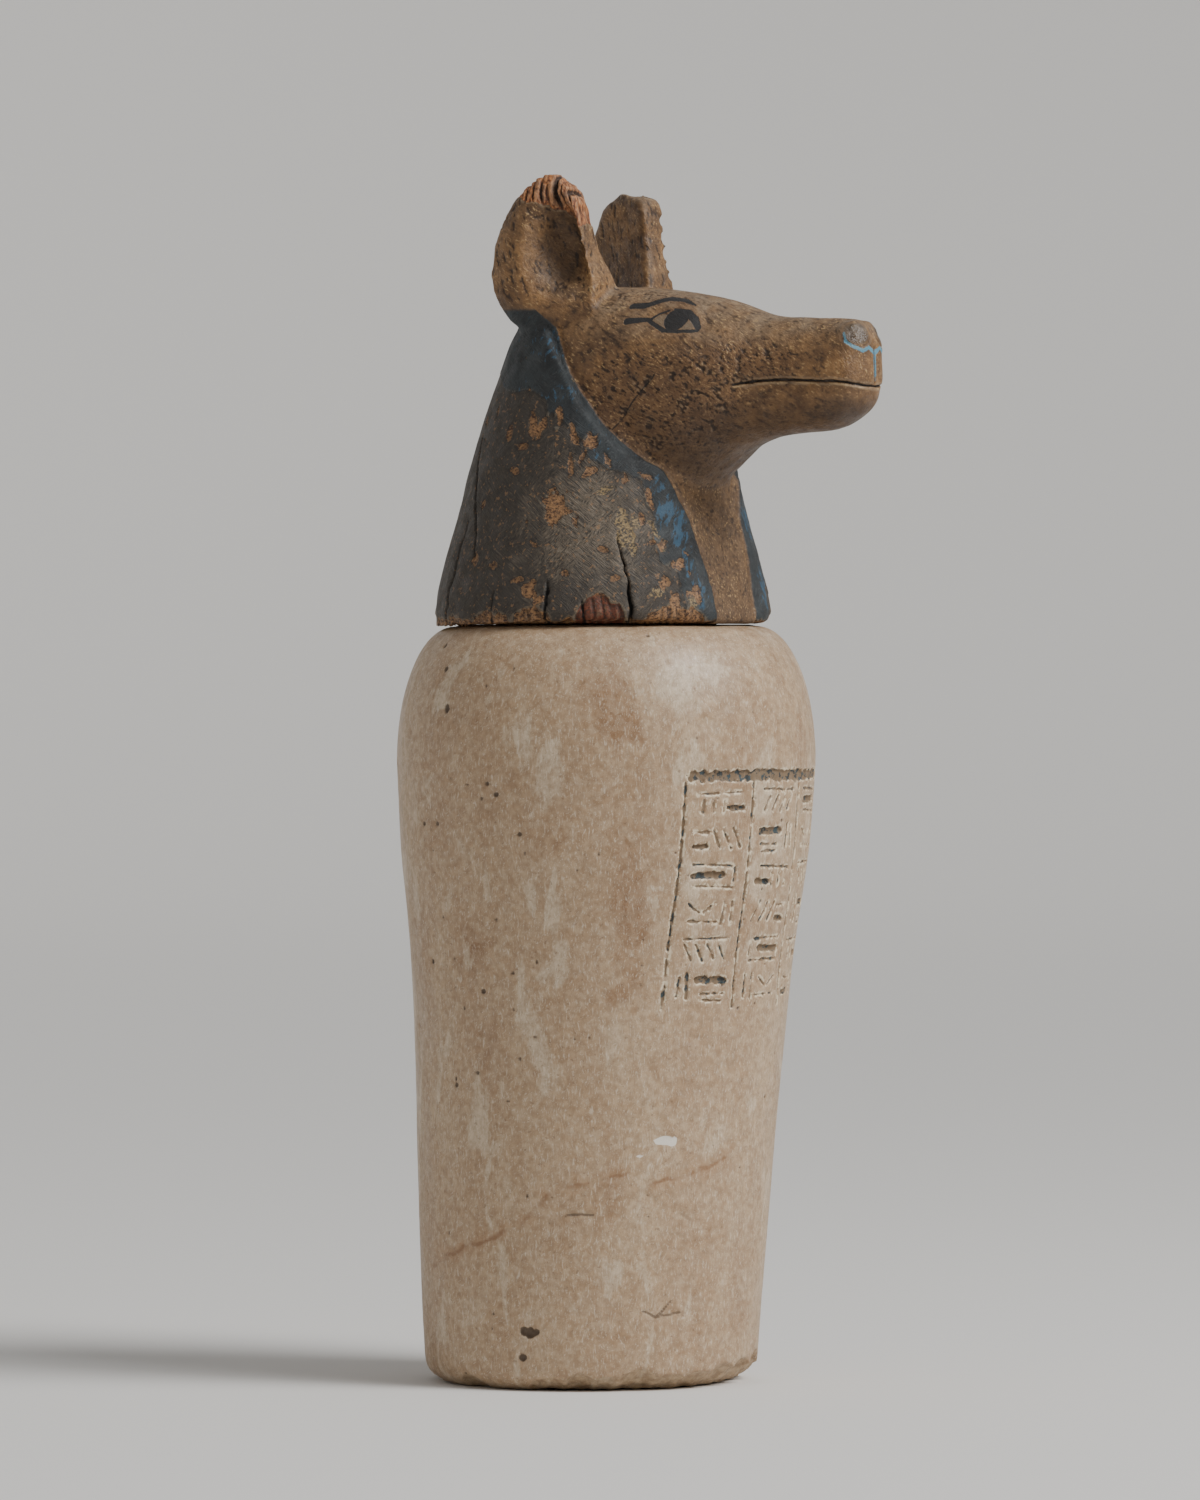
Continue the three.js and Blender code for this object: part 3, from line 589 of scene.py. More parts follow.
# Fresher blue: the same, with an amount
BLUE_PATCHES = [
    (-30, 41, 5, 7, -20, 0.9), (-26, 33, 4, 8, -15, 1.0), (-24, 24, 3, 9, -8, 0.7),
    (-38, 21, 4, 2.6, 20, 1.0), (-21, 12, 2.6, 8, 0, 0.8), (-41, 16, 5, 7, 15, 0.7),
    (-33, 50, 4, 4, -30, 0.6), (-60, 61, 4, 3, 20, 0.5), (-52, 52, 3, 2, 0, 0.5), (-80, 84, 8, 5, 0, 0.35),
    (-90, 103, 8, 7, 0, 0.4), (22, 36, 5, 12, 0, 0.8), (20, 12, 4, 10, 0, 0.8), (40, 24, 6, 6, 0, 0.6),
    (140, 80, 12, 10, 0, 0.4),
]
# Broken lower edge of the wig: degrees from the front, half width in degrees, height
LOW_BREAKS = [
    (-57, 8.5, 8.5), (-30, 11, 4.6), (-81, 7, 4.2), (-98, 8, 3.0), (-118, 6, 1.5), (40, 16, 4.5),
    (100, 18, 4), (165, 18, 5), (-150, 14, 3.5),
]
RED_BREAK = (-57, 9)  # the break that shows dark red wood
# Lower edge of the broken ear tip: ahead, height
EAR_BREAK = [
    (-30, 161), (-15, 158.2), (-8, 156), (-0.6, 153.4), (3, 151.6), (6.5, 147.8), (8.4, 147), (9.6, 152),
    (14, 158),
]
# Grooves down the broken tip: ahead, height, half width, half height, depth
EAR_GROOVES = [
    (-0.5, 160.5, 1.5, 9, 2.6), (5.4, 158, 0.8, 7, 1.5), (-6, 160, 0.8, 6, 1.5), (-9, 160, 0.6, 5, 1.2),
    (-12, 159, 0.6, 4, 0.9), (2.6, 158, 0.6, 7, 1.1), (-3.6, 160, 0.5, 7, 0.8), (7.6, 155, 0.6, 5, 0.9),
]


class LidPoints:
    """The lid's points from its own foot, in millimetres: side, ahead, height, and places round the wig."""

    def __init__(self, obj):
        points = points_of(obj)
        self.normals = normals_of(obj)
        self.side = points[:, 0]
        self.near = np.abs(self.side)
        self.ahead = -points[:, 1] - LID_AHEAD
        self.height = points[:, 2] - RIM - LID_GAP
        self.body = np.stack([self.side, self.ahead, self.height], axis=1)
        self.twin = np.stack([self.near, self.ahead, self.height], axis=1)  # alike on both sides
        self.around = np.degrees(np.arctan2(self.side, self.ahead))
        self.reach = np.hypot(self.side, self.ahead)
        self.girth = np.radians(np.abs(self.around)) * self.reach
        self.under_ears = 1 - smooth(self.height, 110, 116)
        self.ear = smooth(self.height, 114, 121) * smooth(self.near, 8, 14)
        self.foot = smooth(self.height, 1, 5)
        self.hidden = (self.height < 0.6) & (self.reach < 58)


def behind_edge(at):
    """Distance behind the wig's front edge; negative on the face and the throat."""
    nearest = np.full(len(at.ahead), 1e3)
    for start, end in zip(WIG_EDGE, WIG_EDGE[1:]):
        away, _ = segment_distance(at.ahead, at.height, start, end)
        nearest = np.minimum(nearest, away)
    edge = np.interp(at.height, [point[1] for point in WIG_EDGE], [point[0] for point in WIG_EDGE])
    over_cheek = np.where(at.ahead < edge, nearest, -nearest)
    half = np.interp(at.height, [point[0] for point in THROAT], [point[1] for point in THROAT])
    half -= np.where(at.side > 0, FAR_LAPPET_IN, 0) * (1 - smooth(at.height, 38, 54))
    share = smooth(at.height, 46, 60)
    return share * over_cheek + (1 - share) * np.where(at.ahead > 0, at.near - half, 30)


def bump(points, centre, radii):
    """Soft bump: 1 at its centre, fading to 0 over the three radii."""
    return np.exp(-sum(((points[:, k] - centre[k]) / radii[k]) ** 2 for k in range(3)))


def mark_distance(at, marks, seed):
    """Distance in millimetres to the nearest of some ragged marks on the wig; negative inside one."""
    ragged = 0.55 * noise(at.body, 2.6, seed) + 0.35 * noise(at.body, 1.2, seed + 1)
    nearest = np.full(len(at.height), 9.0)
    for degrees, up, wide, tall, turn in marks:
        reach = spread(at.around, at.height, at.reach, (degrees, up), wide, tall, turn)
        nearest = np.minimum(nearest, (reach - 1 + ragged) * min(wide, tall))
    return nearest


def smooth_lid(obj):
    """Takes the wig's thickness off the plain solid and rounds away its facets and voxel steps."""
    at = LidPoints(obj)
    step = smooth(behind_edge(at), -0.6, 0.6) * at.under_ears * at.foot
    points = points_of(obj) - at.normals * (WIG_THICKNESS * step)[:, None]
    ears = smooth(at.height, 118, 126) * smooth(at.near, 6, 12)
    points = relax(points, edges_of(obj), 44, np.ones(len(points)))
    move_points(obj, relax(points, edges_of(obj), 80, ears))
    apply_modifier(obj, "SUBSURF", levels=1, render_levels=1)


def carve_face(at, wig, masks):
    """Rise of the carved features and of the rough ground of the face."""
    to_mouth = at.height - curve_through(MOUTH, at.ahead) + 0.14 * noise(at.body, 4, 105)
    mouth_open = smooth(at.ahead, 69, 76)
    rise = -1.3 * mouth_open * (1 - smooth(np.abs(to_mouth), 0.1, 0.6))
    rise += 0.2 * mouth_open * np.exp(-((to_mouth + 1.1) / 0.7) ** 2) * smooth(noise(at.body, 7, 106), -0.4,
                                                                               0.4)
    pad = np.sqrt(sum(((at.twin[:, k] - NOSE_PAD[k]) / (1.1, 1.1, 0.92)[k]) ** 2 for k in range(3)))
    pad_edge = pad - NOSE_PAD_RADIUS + 0.4 * noise(at.body, 3.0, 107)
    rise += -0.4 * (1 - smooth(pad_edge, -4.0, -0.5)) + 0.4 * np.exp(-((pad_edge - 0.6) / 1.6) ** 2)
    rise -= 0.4 * np.exp(-((pad_edge - 0.3) / 0.5) ** 2) * (1 - smooth(at.height, 104, 108))
    rise += 0.3 * noise(at.body, 2.6, 131) * (1 - smooth(pad_edge, -1.5, 0))
    philtrum = np.maximum(at.near - 0.45, np.maximum(at.height - 101, 87.5 - at.height))
    rise -= 0.5 * (1 - smooth(philtrum, -0.2, 0.5)) * smooth(at.ahead, 114, 117)
    rise += 0.45 * bump(at.twin, (22.5, 49, 112), (7, 7, 4.4)) + 0.5 * bump(at.twin, (17, 42, 121.5),
                                                                            (7, 15, 2.2))
    rise -= 0.9 * bump(at.twin, (21, 60, 110), (6, 4, 5))
    cheek = np.maximum(bump(at.twin, (30, 46, 82), (20, 32, 20)),
                       0.8 * bump(at.twin, (22, 78, 96), (12, 26, 9)))
    cheek = smooth(cheek - bump(at.twin, (22, 52, 112), (14, 16, 7)), 0.12, 0.6)
    # the pits run along the grain, down and ahead
    grain = np.stack([at.side, (at.ahead * 0.85 - at.height * 0.5) / 2.6, at.height * 0.85 + at.ahead * 0.5],
                     axis=1)
    holes = smooth(rough_noise(grain, 1.0, 108, 2), 0.22, 0.5)
    face = (1 - wig) * (1 - at.ear * 0.4) * (1 - 0.8 * smooth(at.ahead, 108, 114))
    rise -= face * (0.36 * cheek + 0.06) * holes
    rise += face * (0.05 + 0.09 * cheek) * noise(grain, 1.9, 109) + face * 0.07 * noise(at.body, 4.2, 110)
    masks.update(mouth=np.where(mouth_open > 0.3, to_mouth, 9.0), nose=pad_edge, cheek=cheek * face,
                 holes=holes * face)
    return rise


def flake_wig(at, behind, wig, masks):
    """Rise of the wig's paint: whole along its edge, worn off behind it, and flaked down to the wood in spots."""
    band = np.interp(at.height, [row[0] for row in WHOLE_BAND], [row[1] for row in WHOLE_BAND])
    ragged = 1.6 * noise(at.body, 5.5, 111) + 0.9 * noise(at.body, 2.2, 112)
    islands = 5.0 * smooth(rough_noise(at.body, (8, 8, 10), 113), 0.14, 0.5)
    lappet = 9 * (1 - smooth(np.abs(at.around), 34, 46)) * (1 - smooth(at.height, 46, 56))
    rear = 7 * smooth(np.abs(at.around), 96, 125) * smooth(noise(at.body, 14, 114), -0.5, 0.3)
    above = 30 * smooth(at.height + 9 * noise(at.body, 13, 129), 76, 104)
    worn = behind - band + ragged - islands - lappet - rear - above
    lost = smooth(worn, -0.1, 0.5) * wig * at.under_ears
    away_from_band = smooth(behind, 2.0, 4.0)
    low = np.full(len(at.height), -1.0)
    for degrees, half, tall in LOW_BREAKS:
        turned = np.abs((at.around - degrees + 180) % 360 - 180) / half
        low = np.maximum(low, tall * np.sqrt(np.maximum(1 - turned**2, 0)))
    strands = np.stack([at.girth, at.height * 0.12, at.side * 0], axis=1)
    low_break = at.height - low - 1.2 + 1.5 * noise(strands, (1.6, 4, 9), 115) + 0.8 * noise(at.body, 2.0,
                                                                                             116)
    scattered = (0.42 - rough_noise(at.body, (2.6, 2.6, 3.8), 117)) * 3
    scattered += 3 * (1 - smooth(noise(at.body, 15, 118), 0.0, 0.45)) + 3 * (1 - away_from_band)
    bare = np.minimum(np.minimum(mark_distance(at, FLECKS, 119), low_break), scattered)
    bare = np.where(wig > 0.5, bare, 9.0)
    ochre = np.where(wig > 0.5, mark_distance(at, OCHRE_PATCHES, 121), 9.0)
    bare_mask = 1 - smooth(bare, -0.3, 0.25)
    ochre_mask = (1 - smooth(ochre, -0.3, 0.25)) * (1 - bare_mask)
    rise = -0.28 * lost - 0.3 * bare_mask - 0.16 * ochre_mask
    rise -= (1 - smooth(low_break, -1.2, 0.3)) * wig * (0.25 + 0.45
                                                        * smooth(noise(strands, (1.2, 4, 9), 123), -0.1, 0.5))
    diagonal = np.stack([at.girth + at.height, (at.girth - at.height) * 0.3, at.side * 0], axis=1)
    rise += wig * at.under_ears * (0.05 * noise(diagonal, 2.0, 124) + 0.05 * noise(at.body, 3.6, 125))
    blue = np.zeros(len(at.height))
    for degrees, up, wide, tall, turn, amount in BLUE_PATCHES:
        reach = spread(at.around, at.height, at.reach, (degrees, up), wide, tall, turn) + 0.4 * noise(at.body,
                                                                                                      3.5,
                                                                                                      126)
        blue = np.maximum(blue, amount * (1 - smooth(reach, 0.4, 1.2)))
    red = 1 - smooth(np.abs(at.around - RED_BREAK[0]), RED_BREAK[1] - 1, RED_BREAK[1])
    red *= 1 - smooth(at.height, 9, 12)
    rubbed = bump(at.body, (-46, 28, 36), (17, 26, 27)) + 0.7 * bump(at.body, (46, 10, 50), (20, 30, 24))
    masks.update(worn=np.clip(worn, -4, 4), rubbed=rubbed, bare=np.clip(bare, -3, 3),
                 ochre=np.clip(ochre, -3, 3), blue=blue, red=red)
    return rise


def split_wood(at, masks):
    """Rise of the splits that run down the wig, and of the hair cracks in the cheek."""
    nearest = np.full(len(at.height), 9.0)
    depth = np.zeros(len(at.height))
    mean_reach = 57.0
    ragged = 0.4 * noise(at.body, (5, 5, 2.5), 127) + 0.3 * noise(at.body, (2, 2, 1.4), 130)
    for path, half_widths, deep in SPLITS:
        middle = path[0][0]
        across = np.radians((at.around - middle + 180) % 360 - 180) * mean_reach + ragged
        line = [(math.radians(degrees - middle) * mean_reach, up) for degrees, up in path]
        away = line_distance(across, at.height, line, half_widths)
        nearest = np.minimum(nearest, away)
        depth = np.maximum(depth, deep * (1 - smooth(away, -0.15, 0.45)))
    for start, end in CHEEK_CRACKS:
        away, _ = segment_distance(at.ahead, at.height + 0.7 * noise(at.body, 3, 128), start, end)
        away = np.where(at.side < 0, away - 0.1, 9.0)
        nearest = np.minimum(nearest, away)
        depth = np.maximum(depth, 0.35 * (1 - smooth(away, -0.1, 0.4)))
    masks["split"] = np.clip(nearest, -2, 4)
    return -depth * ~at.hidden


def break_ears(at, masks):
    """Rise of the raw break of one ear tip, the worn tip of the other, and the rough hollows."""
    jag = 0.9 * noise(at.body, 2.2, 141) + 0.5 * noise(at.body, 1.0, 142)
    line = np.interp(at.ahead, [p[0] for p in EAR_BREAK], [p[1] for p in EAR_BREAK])
    raw = smooth(at.height + jag - line, -0.35, 0.35) * (at.side < 0)
    fibres = np.stack([at.side, at.ahead + 0.1 * at.height, at.height / 9.0], axis=1)
    rise = raw * (0.45 * noise(fibres, 1.35, 143) + 0.3 * noise(fibres, 0.75, 144) - 0.4)
    grooved = np.zeros(len(at.height))
    for ahead, up, wide, tall, deep in EAR_GROOVES:
        reach = np.hypot((at.ahead - ahead + 0.14 * (at.height - up)) / wide, (at.height - up) / tall)
        grooved = np.maximum(grooved, deep * (1 - smooth(reach, 0.35, 1.0)))
    outward = smooth(-at.normals[:, 0] * 0.8 + at.normals[:, 2] * 0.3 - at.normals[:, 1] * 0.5, -0.2, 0.3)
    grooved *= (at.side < -14) * outward * smooth(at.height + jag - line, -2.0, 0.5)
    rise -= grooved
    rise += smooth(at.height + jag, 156.5, 159) * (at.side > 0) * 0.4 * noise(at.body, 2.6, 145)
    inside = smooth(np.abs(at.normals[:, 0]), 0.1, 0.5) * (at.normals[:, 0] * at.side > 0)
    hollow = inside * smooth(bump(at.twin, (26, 0, 138), (9, 8, 17)), 0.1, 0.8)
    rise -= 2.0 * hollow
    masks["hollow"] = hollow
    slanted = np.stack([at.side, at.ahead + 0.35 * at.height, at.height / 3.0], axis=1)
    pits = smooth(rough_noise(slanted, 1.1, 146, 2), 0.22, 0.5)
    rise += at.ear * (1 - raw) * (0.12 * noise(slanted, 2.0, 147) + 0.08 * noise(at.body, 4, 148) - 0.25
                                  * pits)
    masks.update(raw=raw, groove=np.clip(grooved, 0, 1),
                 holes=np.maximum(masks["holes"], pits * at.ear * (1 - raw)))
    return rise


def carve_lid(obj):
    """Carves and wears the smoothed lid, and keeps the masks that its paint follows."""
    at = LidPoints(obj)
    masks = {}
    behind = behind_edge(at) + 0.35 * noise(at.body, 9, 101) + 0.25 * noise(at.body, 3, 102)
    wig = smooth(behind, -0.35, 0.35)
    step = WIG_THICKNESS * smooth(behind, -0.5, 0.5) * at.under_ears * at.foot
    tooled = 0.3 * noise(at.body, 21, 103) + 0.16 * noise(at.body, 10, 104)
    fine = carve_face(at, wig, masks) + flake_wig(at, behind, wig, masks) + break_ears(at, masks)
    rise = step + tooled + fine + split_wood(at, masks)
    rise = np.where(at.hidden, np.minimum(rise, 0) * 0.2, rise)
    low, high = np.array(LID_LOW) / MM, np.array(LID_HIGH) / MM
    move_points(obj, np.clip(points_of(obj) + at.normals * rise[:, None], low, high))
    masks["fine"] = relief_of(fine, edges_of(obj), 8)
    masks["behind"] = np.clip(behind, -9, 9)
    masks["ear"] = at.ear
    masks["girth"] = at.girth
    masks["upward"] = at.normals[:, 2]
    for name, values in masks.items():
        store(obj, name, values)


def relief_of(rise, edges, rounds):
    """How far each point stands above the mean of the points around it."""
    mean = rise.copy()
    count = np.bincount(edges.ravel(), minlength=len(rise)).astype(float)
    for _ in range(rounds):
        sums = np.bincount(edges[:, 0], mean[edges[:, 1]], len(rise)) + np.bincount(edges[:, 1],
                                                                                    mean[edges[:, 0]],
                                                                                    len(rise))
        mean = 0.5 * mean + 0.5 * sums / count
    return rise - mean


def plain_lid():
    """A merged copy of the lid's solid, rebuilt with even faces small enough to carve."""
    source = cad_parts["lid"]
    obj = source.copy()
    obj.data = source.data.copy()
    obj.parent = None
    for key in list(obj.keys()):
        del obj[key]
    bpy.context.scene.collection.objects.link(obj)
    obj.name = "jackal_lid"
    obj.data.name = "jackal_lid"
    only(obj)
    bpy.ops.object.mode_set(mode="EDIT")
    bpy.ops.mesh.select_all(action="SELECT")
    bpy.ops.mesh.remove_doubles(threshold=MM * 0.01)
    bpy.ops.object.mode_set(mode="OBJECT")
    solid = obj.copy()
    solid.data = obj.data.copy()
    bpy.context.scene.collection.objects.link(solid)
    apply_modifier(obj, "REMESH", mode="VOXEL", voxel_size=1.3 * MM, adaptivity=0.0)
    apply_modifier(obj, "SHRINKWRAP", target=solid, wrap_method="NEAREST_SURFACEPOINT")
    bpy.data.objects.remove(solid)
    return obj


# ---- Shader building ----

class Nodes:
    """Places and links the nodes of one tree; a value may be a number, a colour or another node's output."""

    def __init__(self, tree):
        self.tree = tree

    def add(self, kind, inputs=None, **settings):
        node = self.tree.nodes.new(kind)
        for key, value in settings.items():
            setattr(node, key, value)
        for key, value in (inputs or {}).items():
            self.put(node.inputs[key], value)
        return node

    def put(self, socket, value):
        if isinstance(value, bpy.types.NodeSocket):
            self.tree.links.new(value, socket)
        else:
            socket.default_value = (*value, 1) if socket.type == "RGBA" and len(value) == 3 else value

    def math(self, operation, *values):
        node = self.add("ShaderNodeMath", operation=operation)
        for socket, value in zip(node.inputs, values):
            self.put(socket, value)
        return node.outputs[0]

    def times(self, first, second):
        return self.math("MULTIPLY", first, second)

    def plus(self, first, second):
        return self.math("ADD", first, second)

    def vector(self, operation, first, second):
        node = self.add("ShaderNodeVectorMath", operation=operation)
        self.put(node.inputs[0], first)
        self.put(node.inputs[1], second)
        return node.outputs["Value" if operation in ("DOT_PRODUCT", "LENGTH") else "Vector"]

    def step(self, value, low, high, low_value=0.0, high_value=1.0):
        """low_value below low, high_value above high, and a smooth step between."""
        node = self.add("ShaderNodeMapRange", interpolation_type="SMOOTHSTEP")
        for socket, number in zip(node.inputs, (value, low, high, low_value, high_value)):
            self.put(socket, number)
        return node.outputs["Result"]

    def mix(self, share, first, second, blend="MIX"):
        node = self.add("ShaderNodeMix", data_type="RGBA", blend_type=blend)
        for key, value in ((0, share), (6, first), (7, second)):
            self.put(node.inputs[key], value)
        return node.outputs[2]

    def noise(self, vector, size, detail=3.0, roughness=0.55, distortion=0.0):
        """Noise from 0 to 1 whose lumps have the given size in millimetres."""
        inputs = {"Vector": vector, "Scale": 1 / (size * MM), "Detail": detail, "Roughness": roughness,
                  "Distortion": distortion}
        return self.add("ShaderNodeTexNoise", inputs).outputs["Fac"]

    def place(self, stretch=(1, 1, 1), turn=(0, 0, 0)):
        """Object coordinates, turned and then stretched: a larger number gives a longer pattern."""
        source = self.add("ShaderNodeTexCoord").outputs["Object"]
        inputs = {"Vector": source, "Rotation": turn, "Scale": [1 / s for s in stretch]}
        return self.add("ShaderNodeMapping", inputs).outputs[0]

    def kept(self, name):
        """A number kept on the mesh's points."""
        return self.add("ShaderNodeAttribute", attribute_name=name).outputs["Fac"]

    def use(self, group, **inputs):
        node = self.add("ShaderNodeGroup", node_tree=group)
        for key, value in inputs.items():
            self.put(node.inputs[key.replace("_", " ").capitalize()], value)
        return node.outputs


def new_group(name, inputs, outputs):
    """A shader node group with named sockets; returns its nodes, its inputs and its output node."""
    tree = bpy.data.node_groups.new(name, "ShaderNodeTree")
    for key, kind, default in inputs:
        socket = tree.interface.new_socket(name=key, in_out="INPUT", socket_type=kind)
        if default is not None:
            socket.default_value = (*default, 1) if kind == "NodeSocketColor" else default
    for key, kind in outputs:
        tree.interface.new_socket(name=key, in_out="OUTPUT", socket_type=kind)
    nodes = Nodes(tree)
    start = nodes.add("NodeGroupInput")
    end = nodes.add("NodeGroupOutput")
    return nodes, start.outputs, end


def group_named(name, build):
    found = bpy.data.node_groups.get(name)
    return found or build(name)


def speckle_group(name):
    """Small irregular spots of one size."""
    sockets = [("Vector", "NodeSocketVector", None), ("Size", "NodeSocketFloat", 2.0),
               ("Amount", "NodeSocketFloat", 0.3), ("Softness", "NodeSocketFloat", 0.06)]
    nodes, given, end = new_group(name, sockets, [("Mask", "NodeSocketFloat")])
    scale = nodes.math("DIVIDE", 1 / MM, given["Size"])
    field = nodes.add("ShaderNodeTexNoise",
                      {"Vector": given["Vector"], "Scale": scale, "Detail": 3.0, "Roughness": 0.6})
    level = nodes.math("SUBTRACT", 0.72, nodes.times(given["Amount"], 0.4))
    high = nodes.plus(level, given["Softness"])
    nodes.put(end.inputs["Mask"], nodes.step(field.outputs["Fac"], level, high))
    return nodes.tree


def stroke_group(name):
    """Distance in millimetres from a straight stroke of paint that may taper; negative inside it."""
    sockets = [("Vector", "NodeSocketVector", None), ("Start", "NodeSocketVector", (0, 0, 0)),
               ("End", "NodeSocketVector", (0, 0, 1)), ("Start width", "NodeSocketFloat", 1.0),
               ("End width", "NodeSocketFloat", 1.0)]
    nodes, given, end = new_group(name, sockets, [("Distance", "NodeSocketFloat")])
    along = nodes.vector("SUBTRACT", given["End"], given["Start"])
    out = nodes.vector("SUBTRACT", given["Vector"], given["Start"])
    length = nodes.math("MAXIMUM", nodes.vector("DOT_PRODUCT", along, along), 1e-6)
    share = nodes.math("DIVIDE", nodes.vector("DOT_PRODUCT", out, along), length)
    share = nodes.math("MINIMUM", nodes.math("MAXIMUM", share, 0.0), 1.0)
    scaled = nodes.add("ShaderNodeVectorMath", operation="SCALE")
    nodes.put(scaled.inputs[0], along)
    nodes.put(scaled.inputs["Scale"], share)
    gap = nodes.vector("SUBTRACT", out, scaled.outputs["Vector"])
    reach = nodes.vector("LENGTH", gap, (0, 0, 0))
    more = nodes.times(share, nodes.math("SUBTRACT", given["End width"], given["Start width"]))
    half = nodes.plus(given["Start width"], more)
    nodes.put(end.inputs["Distance"], nodes.math("SUBTRACT", reach, half))
    return nodes.tree


def drift_group(name):
    """A colour that drifts between a darker and a lighter one, in lumps with finer lumps on them."""
    sockets = [("Vector", "NodeSocketVector", None), ("Size", "NodeSocketFloat", 10.0),
               ("Darker", "NodeSocketColor", (0.1, 0.1, 0.1)),
               ("Lighter", "NodeSocketColor", (0.5, 0.5, 0.5)),
               ("Contrast", "NodeSocketFloat", 0.25)]
    nodes, given, end = new_group(name, sockets,
                                  [("Colour", "NodeSocketColor"), ("Value", "NodeSocketFloat")])
    scale = nodes.math("DIVIDE", 1 / MM, given["Size"])
    field = nodes.add("ShaderNodeTexNoise",
                      {"Vector": given["Vector"], "Scale": scale, "Detail": 6.0, "Roughness": 0.62})
    low = nodes.math("SUBTRACT", 0.5, given["Contrast"])
    high = nodes.plus(0.5, given["Contrast"])
    value = nodes.step(field.outputs["Fac"], low, high)
    nodes.put(end.inputs["Colour"], nodes.mix(value, given["Darker"], given["Lighter"]))
    nodes.put(end.inputs["Value"], value)
    return nodes.tree


def grain_group(name):
    """Strokes or grain that run along the vector's Y, after a turn, and wander a little; from 0 to 1."""
    sockets = [("Vector", "NodeSocketVector", None), ("Width", "NodeSocketFloat", 0.8),
               ("Length", "NodeSocketFloat", 5.0),
               ("Turn", "NodeSocketVector", (0, 0, 0)), ("Wander", "NodeSocketFloat", 2.0)]
    nodes, given, end = new_group(name, sockets, [("Value", "NodeSocketFloat")])
    drift = nodes.add("ShaderNodeTexNoise",
                      {"Vector": given["Vector"], "Scale": 1 / (11 * MM), "Detail": 2.0})
    offset = nodes.vector("SUBTRACT", drift.outputs["Color"], (0.5, 0.5, 0.5))
    scaled = nodes.add("ShaderNodeVectorMath", operation="SCALE")
    nodes.put(scaled.inputs[0], offset)
    nodes.put(scaled.inputs["Scale"], nodes.times(given["Wander"], 3 * MM))
    moved = nodes.vector("ADD", given["Vector"], scaled.outputs["Vector"])
    turned = nodes.add("ShaderNodeVectorRotate", {"Vector": moved, "Rotation": given["Turn"]},
                       rotation_type="EULER_XYZ")
    across = nodes.math("DIVIDE", 1 / MM, given["Width"])
    along = nodes.math("DIVIDE", 1 / MM, given["Length"])
    sizes = nodes.add("ShaderNodeCombineXYZ", {"X": across, "Y": along, "Z": across}).outputs[0]
    field = nodes.add("ShaderNodeTexNoise",
                      {"Vector": nodes.vector("MULTIPLY", turned.outputs[0], sizes), "Scale": 1.0,
                                             "Detail": 3.0, "Roughness": 0.6})
    nodes.put(end.inputs["Value"], field.outputs["Fac"])
    return nodes.tree


def hollow_shade_and_wear_group(name):
    """Painted shade that darkens the hollows of the carved surface, and wear that lightens what stands proud."""
    sockets = [("Colour", "NodeSocketColor", (0.5, 0.5, 0.5)), ("Relief", "NodeSocketFloat", 0.0),
               ("Dirt", "NodeSocketColor", (0.03, 0.02, 0.01)), ("Wear", "NodeSocketColor", (0.6, 0.5, 0.4)),
               ("Depth", "NodeSocketFloat", 0.2), ("Strength", "NodeSocketFloat", 0.6)]
    nodes, given, end = new_group(name, sockets, [("Colour", "NodeSocketColor")])
    low = nodes.times(given["Depth"], -1.0)
    # Painted shade: the hollows of the carved relief are darkened.
    shaded = nodes.times(nodes.step(given["Relief"], low, 0.0, 1.0, 0.0), given["Strength"])
    proud = nodes.step(given["Relief"], nodes.times(given["Depth"], 0.3), given["Depth"])
    worn = nodes.times(proud, nodes.times(given["Strength"], 0.55))
    colour = nodes.mix(shaded, given["Colour"], given["Dirt"])
    nodes.put(end.inputs["Colour"], nodes.mix(worn, colour, given["Wear"]))
    return nodes.tree


def new_material(name, roughness):
    material = bpy.data.materials.new(name)
    material.use_nodes = True
    nodes = Nodes(material.node_tree)
    surface = material.node_tree.nodes["Principled BSDF"]
    surface.inputs["Roughness"].default_value = roughness
    return material, nodes, surface


# ---- Materials ----

